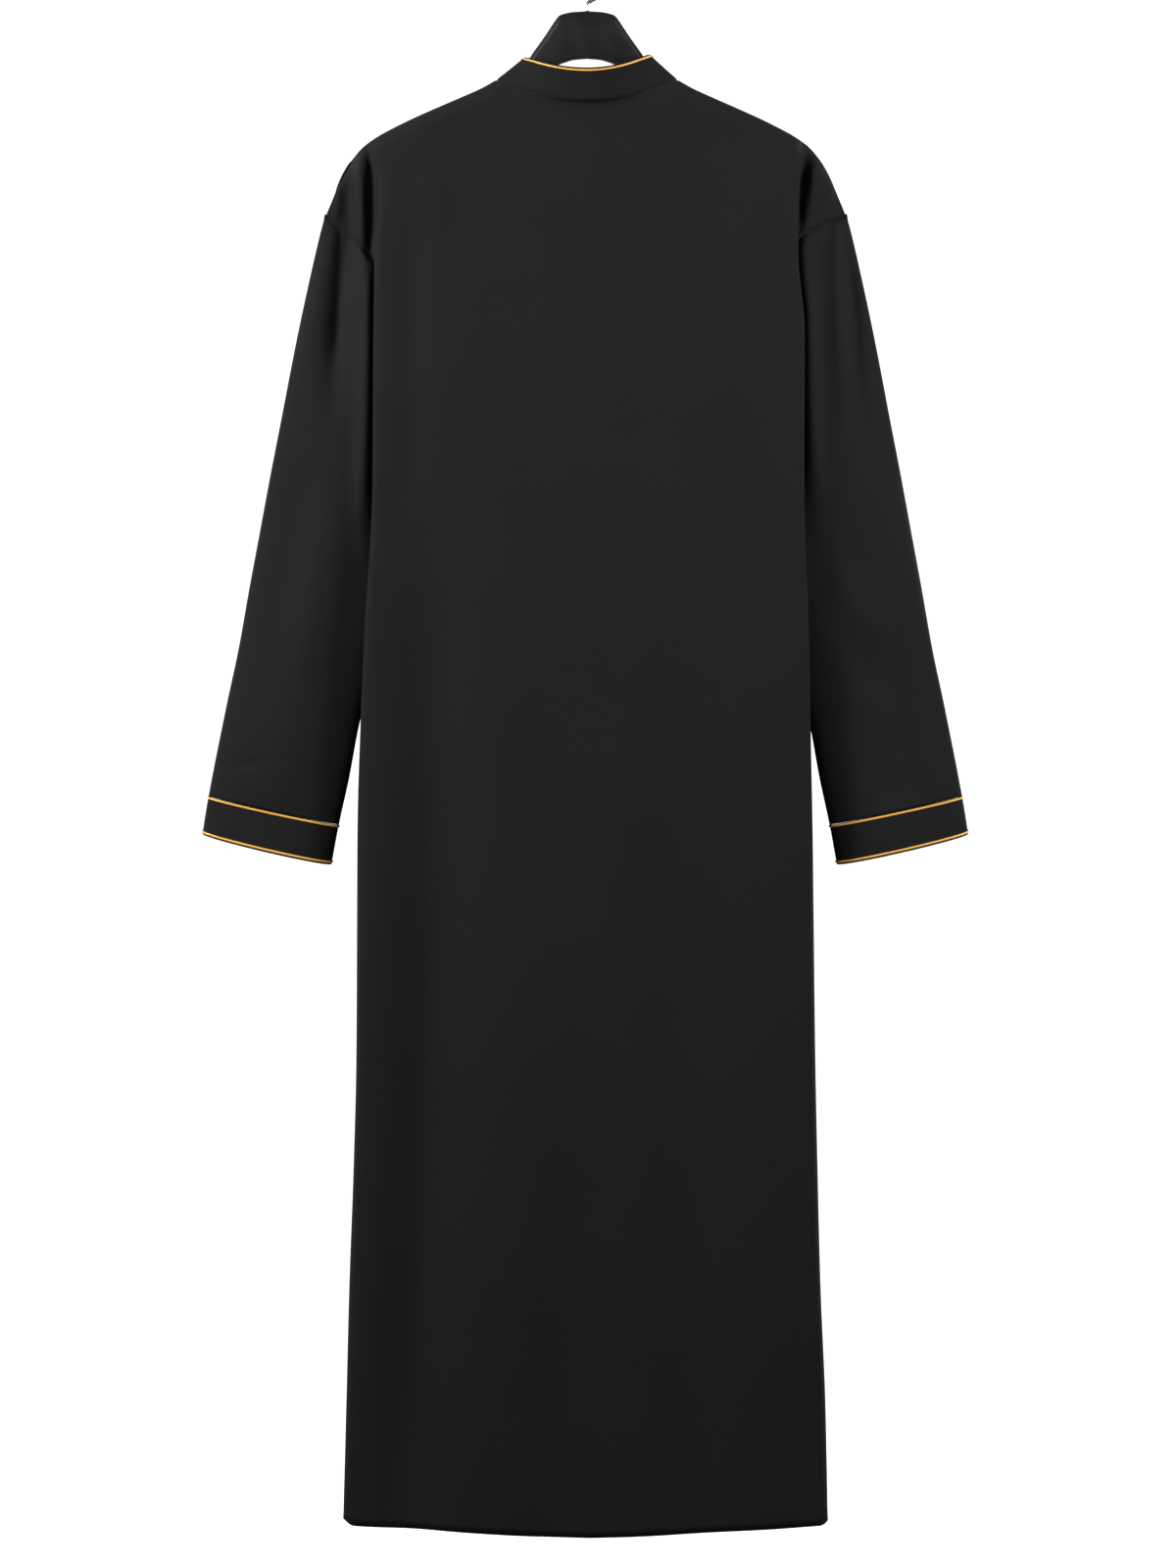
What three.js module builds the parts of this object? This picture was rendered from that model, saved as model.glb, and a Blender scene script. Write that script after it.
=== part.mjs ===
// A long-sleeved thobe hanging on a broad hanger. Millimetres, +Z up. The garment's back
// faces -Y, its front +Y and its right sleeve, as seen from behind, +X. The origin is the
// point inside the hook where it bears on a rail, so every height is a drop below it.
import * as THREE from 'three';

// ---- driving dimensions -----------------------------------------------------------------

const cloth = { wall: 1.5, band: 2, gap: 0.3 }; // body cloth, stiffened bands, gap at a seam
const seamY = 0.22; // a panel's edge at a shoulder or side seam, from the middle plane
const piping = { width: 2.8, height: 1.2, inset: 1.4 }; // satin trim along an edge
const placket = { columns: 1, rows: 13 }; // how many panel columns and rows it covers
const collar = { frontGap: 1.5, height: 33 }; // its two ends meet at the centre front
// The side folds of the body: their roundness under the arms and at the hem, and how they
// close from an open mouth, where the panel's edge lies far out, to a full turn.
const fold = { radius: 7, hemRadius: 10, leastTurn: 60, fullTurn: 180, fullAt: 186, closing: 2 };
const foldReturn = { share: 0.94, least: 6 }; // how far the cloth runs on before it bends back
const underarm = 465; // the drop of the armhole's lowest point
const hemCurve = { centre: 1532.5, rise: 13.5, reach: 235, power: 1.3, seamRise: 9 };
const topFlat = 196; // along the shoulder line, the half width that stays flat below it
const topTurn = 24; // and the width that rolls into the side fold
const shoulderRound = 17; // how far the cloth falls before it has left the hanger's top
const hook = { foot: 53.6, wire: 4, bend: 22, stemTop: 45, steps: 26, sides: 5 };
const reach = { left: 1.011, right: 1.002 }; // the two sides hang a little apart,
const innerReach = { left: 1.011, right: 0.988 }; // as do the sleeves' inner edges
const colours = { cloth: '#1f1f21', satin: '#e0a13c', plastic: '#232425', steel: '#b9bcc0' };

// The line of the shoulder seam, from the neck to the tip of the dropped shoulder.
const shoulder = table(['x', 'drop'],
  [88, 119.8], [101, 127.6], [116, 134.6], [134, 142.6], [163, 155.6], [182, 164.8],
  [202, 175.8], [215, 185.4], [224, 195.4], [230.5, 205], [236, 215.4], [244, 234.7],
  [252, 254]);

// The loops of the stand collar: where it is sewn to the body, and its free top edge.
const neck = {
  base: { half: 88, back: 32, front: 38, sideDrop: { left: 119.8, right: 119.8 }, backDrop: 142.6, frontDrop: 205 },
  top: { half: 63, back: 41, front: 44, sideDrop: { left: 98.1, right: 95 }, backDrop: 112.9, frontDrop: 172 },
};

// The armhole seam, from the shoulder tip down behind the side fold to the underarm.
const armhole = table(['x', 'depth', 'dropLeft', 'dropRight'],
  [252, 0.22, 254, 254], [229, 9, 273, 262], [207, 13.6, 292, 274], [190, 14, 318, 303],
  [176, 14, 358, 352], [163, 12.5, 412, 412], [147, 0.22, underarm, underarm]);

// How far down each of the first rows has come: from the top edge to the armhole's level.
const rowsToUnderarm = table(['level', 'edge'],
  [0, 0], [0.03, 0.035], [0.1, 0.08], [0.22, 0.135], [0.38, 0.2], [0.56, 0.28],
  [0.74, 0.37], [0.9, 0.47], [1, 0.58], [1, 0.72], [1, 0.86], [1, 1]);
const rowsToHem = [0.05, 0.12, 0.2, 0.3, 0.4, 0.5, 0.6, 0.7, 0.8, 0.9, 1];

// The body below the shoulders: where its two side folds stand, how far each panel lies
// from the middle plane, and where the side seam lies inside the fold.
const body = table(['drop', 'left', 'right', 'depth', 'seam'],
  [178, 201, 206, 25, 147], [235, 201, 205, 27, 147], [293, 206, 205, 29, 147],
  [364, 207, 211, 30, 147], [520, 208, 210.5, 32, 142], [662, 215.7, 215, 34.5, 140],
  [752, 219.5, 216.6, 36, 139], [851, 222.3, 218.5, 37.5, 138], [1071, 223.3, 221, 41, 137],
  [1185, 226, 223.2, 42.5, 136], [1299, 230, 226, 44, 136], [1413, 232.8, 230.6, 45.5, 135],
  [1532.5, 235.8, 233, 47, 135]);

// The long soft folds of the skirt, as troughs (positive) and ridges (negative).
const skirtFolds = table(['panel', 'x', 'width', 'from', 'to', 'depth'],
  ['back', -150, 40, 560, 1180, 12], ['back', -60, 46, 980, 1530, -4],
  ['back', 40, 40, 1120, 1530, 3.5], ['back', 150, 34, 900, 1530, -4],
  ['front', -150, 36, 720, 1480, 7], ['front', -48, 40, 1050, 1530, -4],
  ['front', 62, 42, 900, 1530, 4], ['front', 160, 32, 760, 1530, -4]);

// The sleeve and cuff by cross-sections: the drops of the outer and the inner edge, half
// the thickness, how much the ring sags between its edges, and how far it has left the
// armhole's own shape.
const sleeve = table(['outer', 'inner', 'half', 'sag', 'freed'],
  [254, 465, 13, 0, 0], [284, 484, 13, 0, 0.3], [326, 510, 13, 0, 0.6],
  [384, 546, 13, 0.4, 0.86], [452, 592, 13.5, 0.8, 1], [534, 648, 14, 1.4, 1],
  [622, 706, 14.5, 1.8, 1], [706, 764.6, 14.5, 2, 1], [770, 811, 14.5, 2, 1],
  [815.8, 843.6, 14.5, 2, 1]);
const cuff = { from: [816.2, 844], to: [852.8, 882.3], half: 14.5, sag: [2, 3.6] };
const outerEdge = table(['drop', 'x'],
  [254, 252], [292, 262.5], [330, 271], [387, 282.6], [444, 293], [501, 304], [558, 314.5],
  [615, 325], [672, 335], [729, 347], [821.5, 365], [852.8, 370]);
const innerEdge = table(['drop', 'x'],
  [465, 147], [560, 172], [660, 198], [752, 220], [798, 228.5], [846.5, 239],
  [882.3, 245.6]);

// The hanger by cross-sections from its middle out: its top and underside, half its
// thickness, and how square the section is.
const hanger = table(['x', 'top', 'bottom', 'half', 'square'],
  [0, 53.9, 99, 9, 0.4], [13, 54.6, 100.2, 9, 0.4], [20, 55.8, 102.2, 9, 0.4],
  [26.8, 58, 104.6, 9, 0.4], [30.4, 62.2, 106.2, 9, 0.42], [35.4, 69.6, 109, 9, 0.45],
  [40.4, 77.2, 112.5, 8.8, 0.5], [46.4, 85.6, 116.5, 8.5, 0.6], [53, 94.6, 122, 8, 0.75],
  [58.4, 102.6, 127, 7.6, 0.95], [65, 110.6, 133, 7.6, 1], [76, 121.6, 143, 8, 1],
  [88, 130.2, 153, 9.5, 1], [101, 132.9, 161.5, 13, 1], [116, 137.7, 169, 16.5, 1],
  [134, 145.1, 178.5, 19, 1], [163, 158, 193, 21, 1], [182, 167.6, 202.5, 21.5, 1],
  [196, 175.8, 207.6, 19.5, 1], [203, 182.2, 207, 15.5, 1], [211, 190, 203, 7, 1]);
const hangerSides = 14;

// ---- tables and curves ------------------------------------------------------------------

function table(names, ...rows) {
  return rows.map((row) => Object.fromEntries(names.map((name, i) => [name, row[i]])));
}

// A smooth curve through one column of a table, with no overshoot between its rows.
function curve(rows, key, value) {
  const at = rows.map((row) => row[key]);
  const out = rows.map((row) => row[value]);
  const last = rows.length - 1;
  const slope = at.slice(1).map((x, i) => (out[i + 1] - out[i]) / (x - at[i]));
  const tangent = at.map((_, i) => {
    if (i === 0) return slope[0];
    if (i === last) return slope[last - 1];
    const [before, after] = [slope[i - 1], slope[i]];
    return before * after <= 0 ? 0 : (2 * before * after) / (before + after);
  });
  return (x) => {
    if (x <= at[0]) return out[0];
    if (x >= at[last]) return out[last];
    const i = at.findIndex((a) => a > x) - 1;
    const span = at[i + 1] - at[i];
    const t = (x - at[i]) / span;
    const rise = (out[i + 1] - out[i]) * t * t * (3 - 2 * t);
    const lean = span * t * (1 - t) * (tangent[i] * (1 - t) - tangent[i + 1] * t);
    return out[i] + rise + lean;
  };
}

const lerp = THREE.MathUtils.lerp;
const smooth = (x, from, to) => THREE.MathUtils.smoothstep(x, from, to);
const shoulderDrop = curve(shoulder, 'x', 'drop');
const foldAt = { left: curve(body, 'drop', 'left'), right: curve(body, 'drop', 'right') };
const depthAt = curve(body, 'drop', 'depth');
const seamAt = curve(body, 'drop', 'seam');
const outerAt = curve(outerEdge, 'drop', 'x');
const innerAt = curve(innerEdge, 'drop', 'x');
const signOf = (side) => (side === 'left' ? -1 : 1);

const armholeCurve = {
  left: armholeOn('left', 'dropLeft'),
  right: armholeOn('right', 'dropRight'),
};

function armholeOn(side, drop) {
  const points = armhole.map((row) =>
    new THREE.Vector3(row.x * reach[side], row.depth, row[drop]));
  return new THREE.CatmullRomCurve3(points, false, 'centripetal');
}

// ---- closed walls from grids of points --------------------------------------------------

// The normals of a grid whose rows run down and whose columns run so that they point out.
function gridNormals(rows, ring) {
  const width = rows[0].length;
  const column = (j) => (ring ? (j + width) % width : Math.min(Math.max(j, 0), width - 1));
  return rows.map((row, i) => row.map((_, j) => {
    const above = rows[Math.max(i - 1, 0)][j];
    const below = rows[Math.min(i + 1, rows.length - 1)][j];
    const down = below.clone().sub(above);
    const across = row[column(j + 1)].clone().sub(row[column(j - 1)]);
    return down.cross(across).normalize();
  }));
}

function moved(rows, normals, distance) {
  return rows.map((row, i) => row.map((p, j) => {
    const by = typeof distance === 'function' ? distance(i) : distance;
    return p.clone().addScaledVector(normals[i][j], by);
  }));
}

// One closed solid between an outer and an inner grid, with a rim round their edges.
function wallBetween(outer, inner, ring) {
  const height = outer.length;
  const width = outer[0].length;
  const inside = height * width;
  const positions = [...outer.flat(), ...inner.flat()].flatMap((p) => [p.x, p.y, p.z]);
  const faces = [];
  const quad = (a, b, c, d) => faces.push(a, b, c, a, c, d);
  const at = (i, j) => i * width + (ring ? j % width : j);
  for (let i = 0; i < height - 1; i++) {
    for (let j = 0; j < width - (ring ? 0 : 1); j++) {
      const [a, b, c, d] = [at(i, j), at(i, j + 1), at(i + 1, j + 1), at(i + 1, j)];
      quad(a, d, c, b);
      quad(inside + a, inside + b, inside + c, inside + d);
    }
  }
  for (let j = 0; j < width - (ring ? 0 : 1); j++) {
    const [a, b] = [at(0, j), at(0, j + 1)];
    quad(a, b, inside + b, inside + a);
    const [d, c] = [at(height - 1, j), at(height - 1, j + 1)];
    quad(d, inside + d, inside + c, c);
  }
  for (let i = 0; i < height - 1 && !ring; i++) {
    const [a, d] = [at(i, 0), at(i + 1, 0)];
    quad(a, inside + a, inside + d, d);
    const [b, c] = [at(i, width - 1), at(i + 1, width - 1)];
    quad(b, c, inside + c, inside + b);
  }
  return geometryOf(positions, faces);
}

function geometryOf(positions, faces) {
  const geometry = new THREE.BufferGeometry();
  geometry.setAttribute('position', new THREE.Float32BufferAttribute(positions, 3));
  geometry.setIndex(faces);
  return geometry;
}

function wall(rows, thickness, { ring = false, square = null } = {}) {
  const normals = gridNormals(rows, ring);
  if (square) normals.forEach((row, i) => row.forEach((n, j) => square(n, i, j)));
  return wallBetween(rows, moved(rows, normals, -thickness), ring);
}

// A trim that lies on three rows of a surface: low at its edges and full in its middle.
function trim(rows, ring) {
  const normals = gridNormals(rows, ring);
  const crown = (i) => cloth.gap + piping.height * (i === 1 ? 1 : 0.45);
  return wallBetween(moved(rows, normals, crown), moved(rows, normals, cloth.gap), ring);
}

// ---- the body ---------------------------------------------------------------------------

// The columns of half a panel, from its centre out: flat, then round the side fold, then
// back inside it to the panel's edge.
const neckColumns = [0, 18, 36, 54, 70, 81, neck.base.half];
const flatColumns = [...neckColumns, 118, 147, 172, topFlat].map((x) => x / topFlat);
const turnColumns = [0.2, 0.4, 0.6, 0.8, 1];
const backColumns = [0.3, 0.65, 1];
const halfColumns = [
  ...flatColumns.map((at) => ({ part: 'flat', at, top: at * topFlat })),
  ...turnColumns.map((at) => ({ part: 'turn', at, top: topFlat + at * topTurn })),
  ...backColumns.map((at) => ({ part: 'back', at, top: lerp(topFlat + topTurn, 252, at) })),
];

// A point of a neck loop; the angle runs from 0 at the centre back to PI at the front.
function neckPoint(loop, angle, side) {
  const forward = -Math.cos(angle);
  const y = forward < 0 ? loop.back * forward : loop.front * forward;
  const end = forward < 0 ? loop.backDrop : loop.frontDrop;
  const drop = loop.sideDrop[side] + (end - loop.sideDrop[side]) * forward ** 2;
  return new THREE.Vector3(signOf(side) * loop.half * Math.sin(angle), y, -drop);
}

// The top edge of a panel: half the neck, then the shoulder line. y is the distance from
// the middle plane, on either panel.
const neckBlend = 150; // where the shoulder line has taken up its side's whole reach

function topEdge(column, panel, side) {
  const half = neck.base.half;
  if (column.top <= half + 0.001) {
    const angle = Math.asin(Math.min(column.top / half, 1));
    const p = neckPoint(neck.base, panel === 'back' ? angle : Math.PI - angle, side);
    return { x: Math.abs(p.x), y: Math.max(Math.abs(p.y), seamY), drop: -p.z };
  }
  const spread = lerp(1, reach[side], smooth(column.top, half, neckBlend));
  return { x: column.top * spread, y: seamY, drop: shoulderDrop(column.top) };
}

// How far a panel's long folds move it in at a place.
function foldDepth(panel, x, drop) {
  return skirtFolds.filter((row) => row.panel === panel).reduce((sum, row) => {
    const across = Math.exp(-(((x - row.x) / row.width) ** 2));
    return sum + row.depth * across * smooth(drop, row.from, row.to);
  }, 0);
}

// The place of a column in the level section of the body, with its panel's edge given.
function sectionPoint(column, drop, edge, panel, side) {
  const radius = lerp(fold.radius, fold.hemRadius, smooth(drop, underarm, hemCurve.centre));
  const depth = depthAt(drop);
  const flat = foldAt[side](drop) - radius;
  const closed = fold.fullTurn - (edge.x - fold.fullAt) * fold.closing;
  const turn = THREE.MathUtils.clamp(closed, fold.leastTurn, fold.fullTurn);
  const angle = THREE.MathUtils.degToRad(turn) * (column.part === 'turn' ? column.at : 1);
  if (column.part === 'flat') {
    const x = column.at * flat;
    const ease = 1 - smooth(column.at, 0.8, 1);
    return { x, y: depth - foldDepth(panel, signOf(side) * x, drop) * ease };
  }
  const end = { x: flat + radius * Math.sin(angle), y: depth - radius * (1 - Math.cos(angle)) };
  if (column.part === 'turn') return end;
  const run = Math.max(foldReturn.least, (end.x - edge.x) * foldReturn.share);
  const knee = { x: end.x + run * Math.cos(angle), y: end.y - run * Math.sin(angle) };
  const t = column.at;
  const bezier = (key) =>
    end[key] * (1 - t) ** 2 + 2 * knee[key] * t * (1 - t) + edge[key] * t * t;
  return { x: bezier('x'), y: bezier('y') };
}

function hemDrop(x, part) {
  const out = Math.min(x / hemCurve.reach, 1);
  const level = hemCurve.centre - hemCurve.rise * out ** hemCurve.power;
  return part.part === 'back' ? level - hemCurve.seamRise * part.at : level;
}

// One half row of a panel, as x from the centre, y from the middle plane, and drop.
function halfRow(panel, side, index) {
  const armholeRows = rowsToUnderarm.length;
  return halfColumns.map((column) => {
    if (index >= armholeRows) {
      const share = rowsToHem[index - armholeRows];
      const level = lerp(underarm, hemCurve.centre, share);
      const edge = { x: seamAt(level), y: seamY };
      const place = sectionPoint(column, level, edge, panel, side);
      return { ...place, drop: lerp(underarm, hemDrop(place.x, column), share) };
    }
    const { level, edge: along } = rowsToUnderarm[index];
    const on = armholeCurve[side].getPoint(along);
    const top = topEdge(column, panel, side);
    const drop = lerp(top.drop, on.z, level);
    const place = sectionPoint(column, Math.max(drop, body[0].drop), on, panel, side);
    const across = smooth(level, 0, 0.5);
    const fallen = Math.min((drop - top.drop) / shoulderRound, 1);
    const round = Math.sqrt(1 - (1 - fallen) ** 2);
    const isEdge = column.part === 'back' && column.at === 1;
    return isEdge ? { x: on.x, y: on.y, drop: on.z } : {
      x: lerp(top.x, place.x, across),
      y: lerp(top.y, place.y, round),
      drop,
    };
  });
}

// The rows of a whole panel. Columns run from left to right on the back and from right to
// left on the front, so that the normals of both point out.
function panelRows(panel) {
  const count = rowsToUnderarm.length + rowsToHem.length;
  const forward = panel === 'back' ? -1 : 1;
  return Array.from({ length: count }, (_, index) => {
    const half = (side) => halfRow(panel, side, index).map((p) =>
      new THREE.Vector3(signOf(side) * p.x, forward * p.y, -p.drop));
    const row = [...half('left').reverse(), ...half('right').slice(1)];
    return panel === 'back' ? row : row.reverse();
  });
}

// A panel's rim stands square to the shoulder seam, and along the neck it stands as the
// collar's does.
function squareSeams(panel) {
  const centre = halfColumns.length - 1;
  const forward = panel === 'back' ? 1 : -1;
  return (n, i, j) => {
    const column = (j - centre) * forward;
    if (i > 0) return;
    if (Math.abs(column) >= neckColumns.length) n.setY(0).normalize();
    else n.copy(collarFoot(panel, column));
  };
}

function placketRows(front) {
  const centre = (front[0].length - 1) / 2;
  const from = centre - placket.columns;
  return front.slice(0, placket.rows).map((row) => row.slice(from, centre + placket.columns + 1));
}

// ---- the sleeves and cuffs --------------------------------------------------------------

const sleeveClear = 1.2; // the sleeve's seam lies this far inside the armhole's
const sleeveTurn = { from: 185, to: 205 }; // where the seam turns in behind the side fold

// One ring of a sleeve, from its outer edge along the back to its inner edge and along the
// front to the outer edge again.
function sleeveRing(side, section) {
  const count = rowsToUnderarm.length - 1;
  const outer = { x: outerAt(section.outer) * reach[side], drop: section.outer };
  const inner = { x: innerAt(section.inner) * innerReach[side], drop: section.inner };
  const half = Array.from({ length: count + 1 }, (_, k) => {
    const angle = (Math.PI * k) / count;
    const toInner = (1 - Math.cos(angle)) / 2;
    const round = Math.sin(angle) ** 0.8;
    const free = {
      x: lerp(outer.x, inner.x, toInner),
      y: Math.max(section.half * round, 0),
      drop: lerp(outer.drop, inner.drop, toInner) + section.sag * round,
    };
    const seam = armholeCurve[side].getPoint(rowsToUnderarm[k].edge);
    const inFold = 1 - smooth(seam.x, sleeveTurn.from, sleeveTurn.to);
    const atUnderarm = smooth(k, count - 3, count);
    const start = {
      x: seam.x + sleeveClear * (1 - inFold + atUnderarm),
      y: Math.max(seam.y - sleeveClear * inFold, 0),
      drop: seam.z + sleeveClear * (1 - inFold),
    };
    const freed = section.freed;
    return {
      x: lerp(start.x, free.x, freed),
      y: lerp(start.y, free.y, freed),
      drop: lerp(start.drop, free.drop, freed),
    };
  });
  const sign = signOf(side);
  const back = half.map((p) => new THREE.Vector3(sign * p.x, -p.y, -p.drop));
  const front = half.slice(1, -1).reverse().map((p) => new THREE.Vector3(sign * p.x, p.y, -p.drop));
  const ring = [...back, ...front];
  return side === 'left' ? ring : ring.reverse();
}

const sleeveRows = (side) => sleeve.map((section) => sleeveRing(side, section));

// The cuff between two shares of its length, in a number of rows.
function cuffRows(side, from, to, rows) {
  return Array.from({ length: rows }, (_, i) => {
    const share = lerp(from, to, i / (rows - 1));
    return sleeveRing(side, {
      outer: lerp(cuff.from[0], cuff.to[0], share),
      inner: lerp(cuff.from[1], cuff.to[1], share),
      half: cuff.half,
      sag: lerp(cuff.sag[0], cuff.sag[1], share),
      freed: 1,
    });
  });
}

function cuffTrim(side, edge) {
  const length = cuff.to[0] - cuff.from[0];
  const width = piping.width / length;
  const inset = piping.inset / length;
  const from = edge === 'upper' ? 0.01 : 1 - inset - width;
  return trim(cuffRows(side, from, from + width, 3), true);
}

// ---- the collar -------------------------------------------------------------------------

// The angles of the collar's columns, which are those of the panels' columns at the neck,
// from the front round the left side and the back to the front again.
function collarAngles() {
  const open = collar.frontGap / 2 / neck.top.half;
  const quarter = neckColumns.map((x) => Math.asin(x / neck.base.half));
  const front = quarter.map((angle) => Math.PI - Math.max(angle, open));
  const half = [...quarter, ...front.reverse().slice(1)];
  return [...half.slice(1).reverse().map((angle) => -angle), ...half];
}

// Rows of the collar between two heights, 0 at the neck seam and 1 at the free edge.
function collarRows(heights) {
  return heights.map((height) => collarAngles().map((around) => {
    const side = around < 0 ? 'left' : 'right';
    const low = neckPoint(neck.base, Math.abs(around), side);
    const high = neckPoint(neck.top, Math.abs(around), side);
    return low.lerp(high, height);
  }));
}

const trimTop = 1 - piping.inset / collar.height;
const trimWidth = piping.width / collar.height;
const trimHeights = [trimTop, trimTop - trimWidth / 2, trimTop - trimWidth];
const collarHeights = [1, ...trimHeights, 0.45, 0.012];

// The direction that the collar's foot faces at a column of a panel.
function collarFoot(panel, column) {
  const normals = gridNormals(collarRows(collarHeights), false).at(-1);
  const centre = (normals.length - 1) / 2;
  const quarter = neckColumns.length - 1;
  if (panel === 'back') return normals[centre + column];
  return normals[centre + (column < 0 ? -1 : 1) * (2 * quarter - Math.abs(column))];
}

// ---- the hanger and its hook ------------------------------------------------------------

function hangerGeometry() {
  const sections = [...hanger.slice(1).reverse().map((row) => ({ ...row, x: -row.x })), ...hanger];
  const rings = sections.map((row) => Array.from({ length: hangerSides }, (_, k) => {
    const angle = (2 * Math.PI * (k + 0.5)) / hangerSides;
    const power = (v) => Math.sign(v) * Math.abs(v) ** row.square;
    const middle = (row.top + row.bottom) / 2;
    const half = (row.bottom - row.top) / 2;
    return new THREE.Vector3(
      row.x,
      row.half * power(Math.cos(angle)),
      -(middle - half * power(Math.sin(angle))),
    );
  }));
  const positions = rings.flat().flatMap((p) => [p.x, p.y, p.z]);
  const faces = [];
  const at = (i, k) => i * hangerSides + (k % hangerSides);
  for (let i = 0; i < rings.length - 1; i++) {
    for (let k = 0; k < hangerSides; k++) {
      faces.push(at(i, k), at(i + 1, k + 1), at(i + 1, k));
      faces.push(at(i, k), at(i, k + 1), at(i + 1, k + 1));
    }
  }
  const lastRing = rings.length - 1;
  for (let k = 1; k < hangerSides - 1; k++) {
    faces.push(at(0, 0), at(0, k + 1), at(0, k));
    faces.push(at(lastRing, 0), at(lastRing, k), at(lastRing, k + 1));
  }
  return geometryOf(positions, faces);
}

// The wire: a short stem from the hanger's top, then a bend over the rail and down again.
function hookGeometry() {
  const centre = -(hook.bend - hook.wire / 2);
  const points = [
    new THREE.Vector3(0, 0, -hook.foot),
    new THREE.Vector3(0, 0, -hook.stemTop - 4),
    new THREE.Vector3(1.5, 0, -hook.stemTop),
  ];
  for (const degrees of [-58, -35, -10, 20, 50, 80, 110, 140, 170, 195]) {
    const angle = THREE.MathUtils.degToRad(degrees);
    points.push(new THREE.Vector3(
      hook.bend * Math.cos(angle), 0, centre + hook.bend * Math.sin(angle)));
  }
  const path = new THREE.CatmullRomCurve3(points, false, 'centripetal');
  const section = new THREE.Shape();
  section.absarc(0, 0, hook.wire / 2, 0, 2 * Math.PI);
  return new THREE.ExtrudeGeometry(section, {
    extrudePath: path,
    steps: hook.steps,
    curveSegments: hook.sides,
  });
}

// ---- the scene graph --------------------------------------------------------------------

const materials = {
  cloth: new THREE.MeshStandardMaterial({ color: colours.cloth, roughness: 0.85, metalness: 0 }),
  satin: new THREE.MeshStandardMaterial({ color: colours.satin, roughness: 0.35, metalness: 0 }),
  plastic: new THREE.MeshStandardMaterial({ color: colours.plastic, roughness: 0.4, metalness: 0 }),
  steel: new THREE.MeshStandardMaterial({ color: colours.steel, roughness: 0.25, metalness: 1 }),
};

const thobe = new THREE.Group();

function add(name, geometry, material) {
  const mesh = new THREE.Mesh(geometry, materials[material].clone());
  mesh.name = name;
  thobe.add(mesh);
}

const backRows = panelRows('back');
const frontRows = panelRows('front');
add('back_panel', wall(backRows, cloth.wall, { square: squareSeams('back') }), 'cloth');
add('front_panel', wall(frontRows, cloth.wall, { square: squareSeams('front') }), 'cloth');

const strip = placketRows(frontRows);
const stripNormals = gridNormals(strip, false);
const stripBack = moved(strip, stripNormals, cloth.gap);
add('placket', wallBetween(moved(stripBack, stripNormals, cloth.wall), stripBack, false), 'cloth');

add('collar', wall(collarRows(collarHeights), cloth.band), 'cloth');
add('collar_piping', trim(collarRows(trimHeights), false), 'satin');

for (const side of ['left', 'right']) {
  add(`sleeve_${side}`, wall(sleeveRows(side), cloth.wall, { ring: true }), 'cloth');
  add(`cuff_${side}`, wall(cuffRows(side, 0, 1, 3), cloth.band, { ring: true }), 'cloth');
  for (const edge of ['upper', 'lower']) {
    add(`cuff_piping_${edge}_${side}`, cuffTrim(side, edge), 'satin');
  }
}

add('hanger', hangerGeometry(), 'plastic');
add('hook', hookGeometry(), 'steel');

export default thobe;
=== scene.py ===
import math

import bmesh
import bpy
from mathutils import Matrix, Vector, noise


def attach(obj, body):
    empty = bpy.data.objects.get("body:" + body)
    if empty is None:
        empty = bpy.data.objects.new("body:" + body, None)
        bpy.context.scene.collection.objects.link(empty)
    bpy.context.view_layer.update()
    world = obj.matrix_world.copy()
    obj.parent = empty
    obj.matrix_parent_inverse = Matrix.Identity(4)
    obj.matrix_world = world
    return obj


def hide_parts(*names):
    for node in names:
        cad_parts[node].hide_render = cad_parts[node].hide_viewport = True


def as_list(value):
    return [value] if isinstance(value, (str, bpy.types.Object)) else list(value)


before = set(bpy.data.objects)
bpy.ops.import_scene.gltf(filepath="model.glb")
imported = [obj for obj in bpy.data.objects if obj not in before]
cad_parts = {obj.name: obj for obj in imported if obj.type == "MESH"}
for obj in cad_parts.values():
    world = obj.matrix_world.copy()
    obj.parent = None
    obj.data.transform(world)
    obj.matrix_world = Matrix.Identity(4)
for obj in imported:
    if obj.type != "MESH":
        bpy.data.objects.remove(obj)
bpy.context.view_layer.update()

# Every table is in millimetres; a drop is the distance below the hook's bearing point.
# The garment's back faces -Y, and left and right are as seen from behind.


def rowsOf(names, *rows):
    return [dict(zip(names.split(), row)) for row in rows]


def smoothCurve(rows, key, value):
    at = [row[key] for row in rows]
    out = [row[value] for row in rows]
    slopes = [(out[i + 1] - out[i]) / (at[i + 1] - at[i]) for i in range(len(at) - 1)]
    tangents = [slopes[0]]
    for before, after in zip(slopes, slopes[1:]):
        tangents.append(0 if before * after <= 0 else 2 * before * after / (before + after))
    tangents.append(slopes[-1])

    def read(x):
        if x <= at[0]:
            return out[0]
        if x >= at[-1]:
            return out[-1]
        i = next(n for n, a in enumerate(at) if a > x) - 1
        span = at[i + 1] - at[i]
        t = (x - at[i]) / span
        rise = (out[i + 1] - out[i]) * t * t * (3 - 2 * t)
        return out[i] + rise + span * t * (1 - t) * (tangents[i] * (1 - t) - tangents[i + 1] * t)

    return read


def mix(a, b, t):
    return a + (b - a) * t


def ease(x, low, high):
    t = min(max((x - low) / (high - low), 0), 1)
    return t * t * (3 - 2 * t)


def hump(x, width):
    return math.exp(-((x / width) ** 2))


def signOf(side):
    return -1 if side == "left" else 1


# How far to either side a surface is felt for the way that it faces.
probe = {"column": 1, "row": 0.1, "angle": 0.01, "height": 0.05, "round": 0.004, "share": 0.002}


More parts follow.
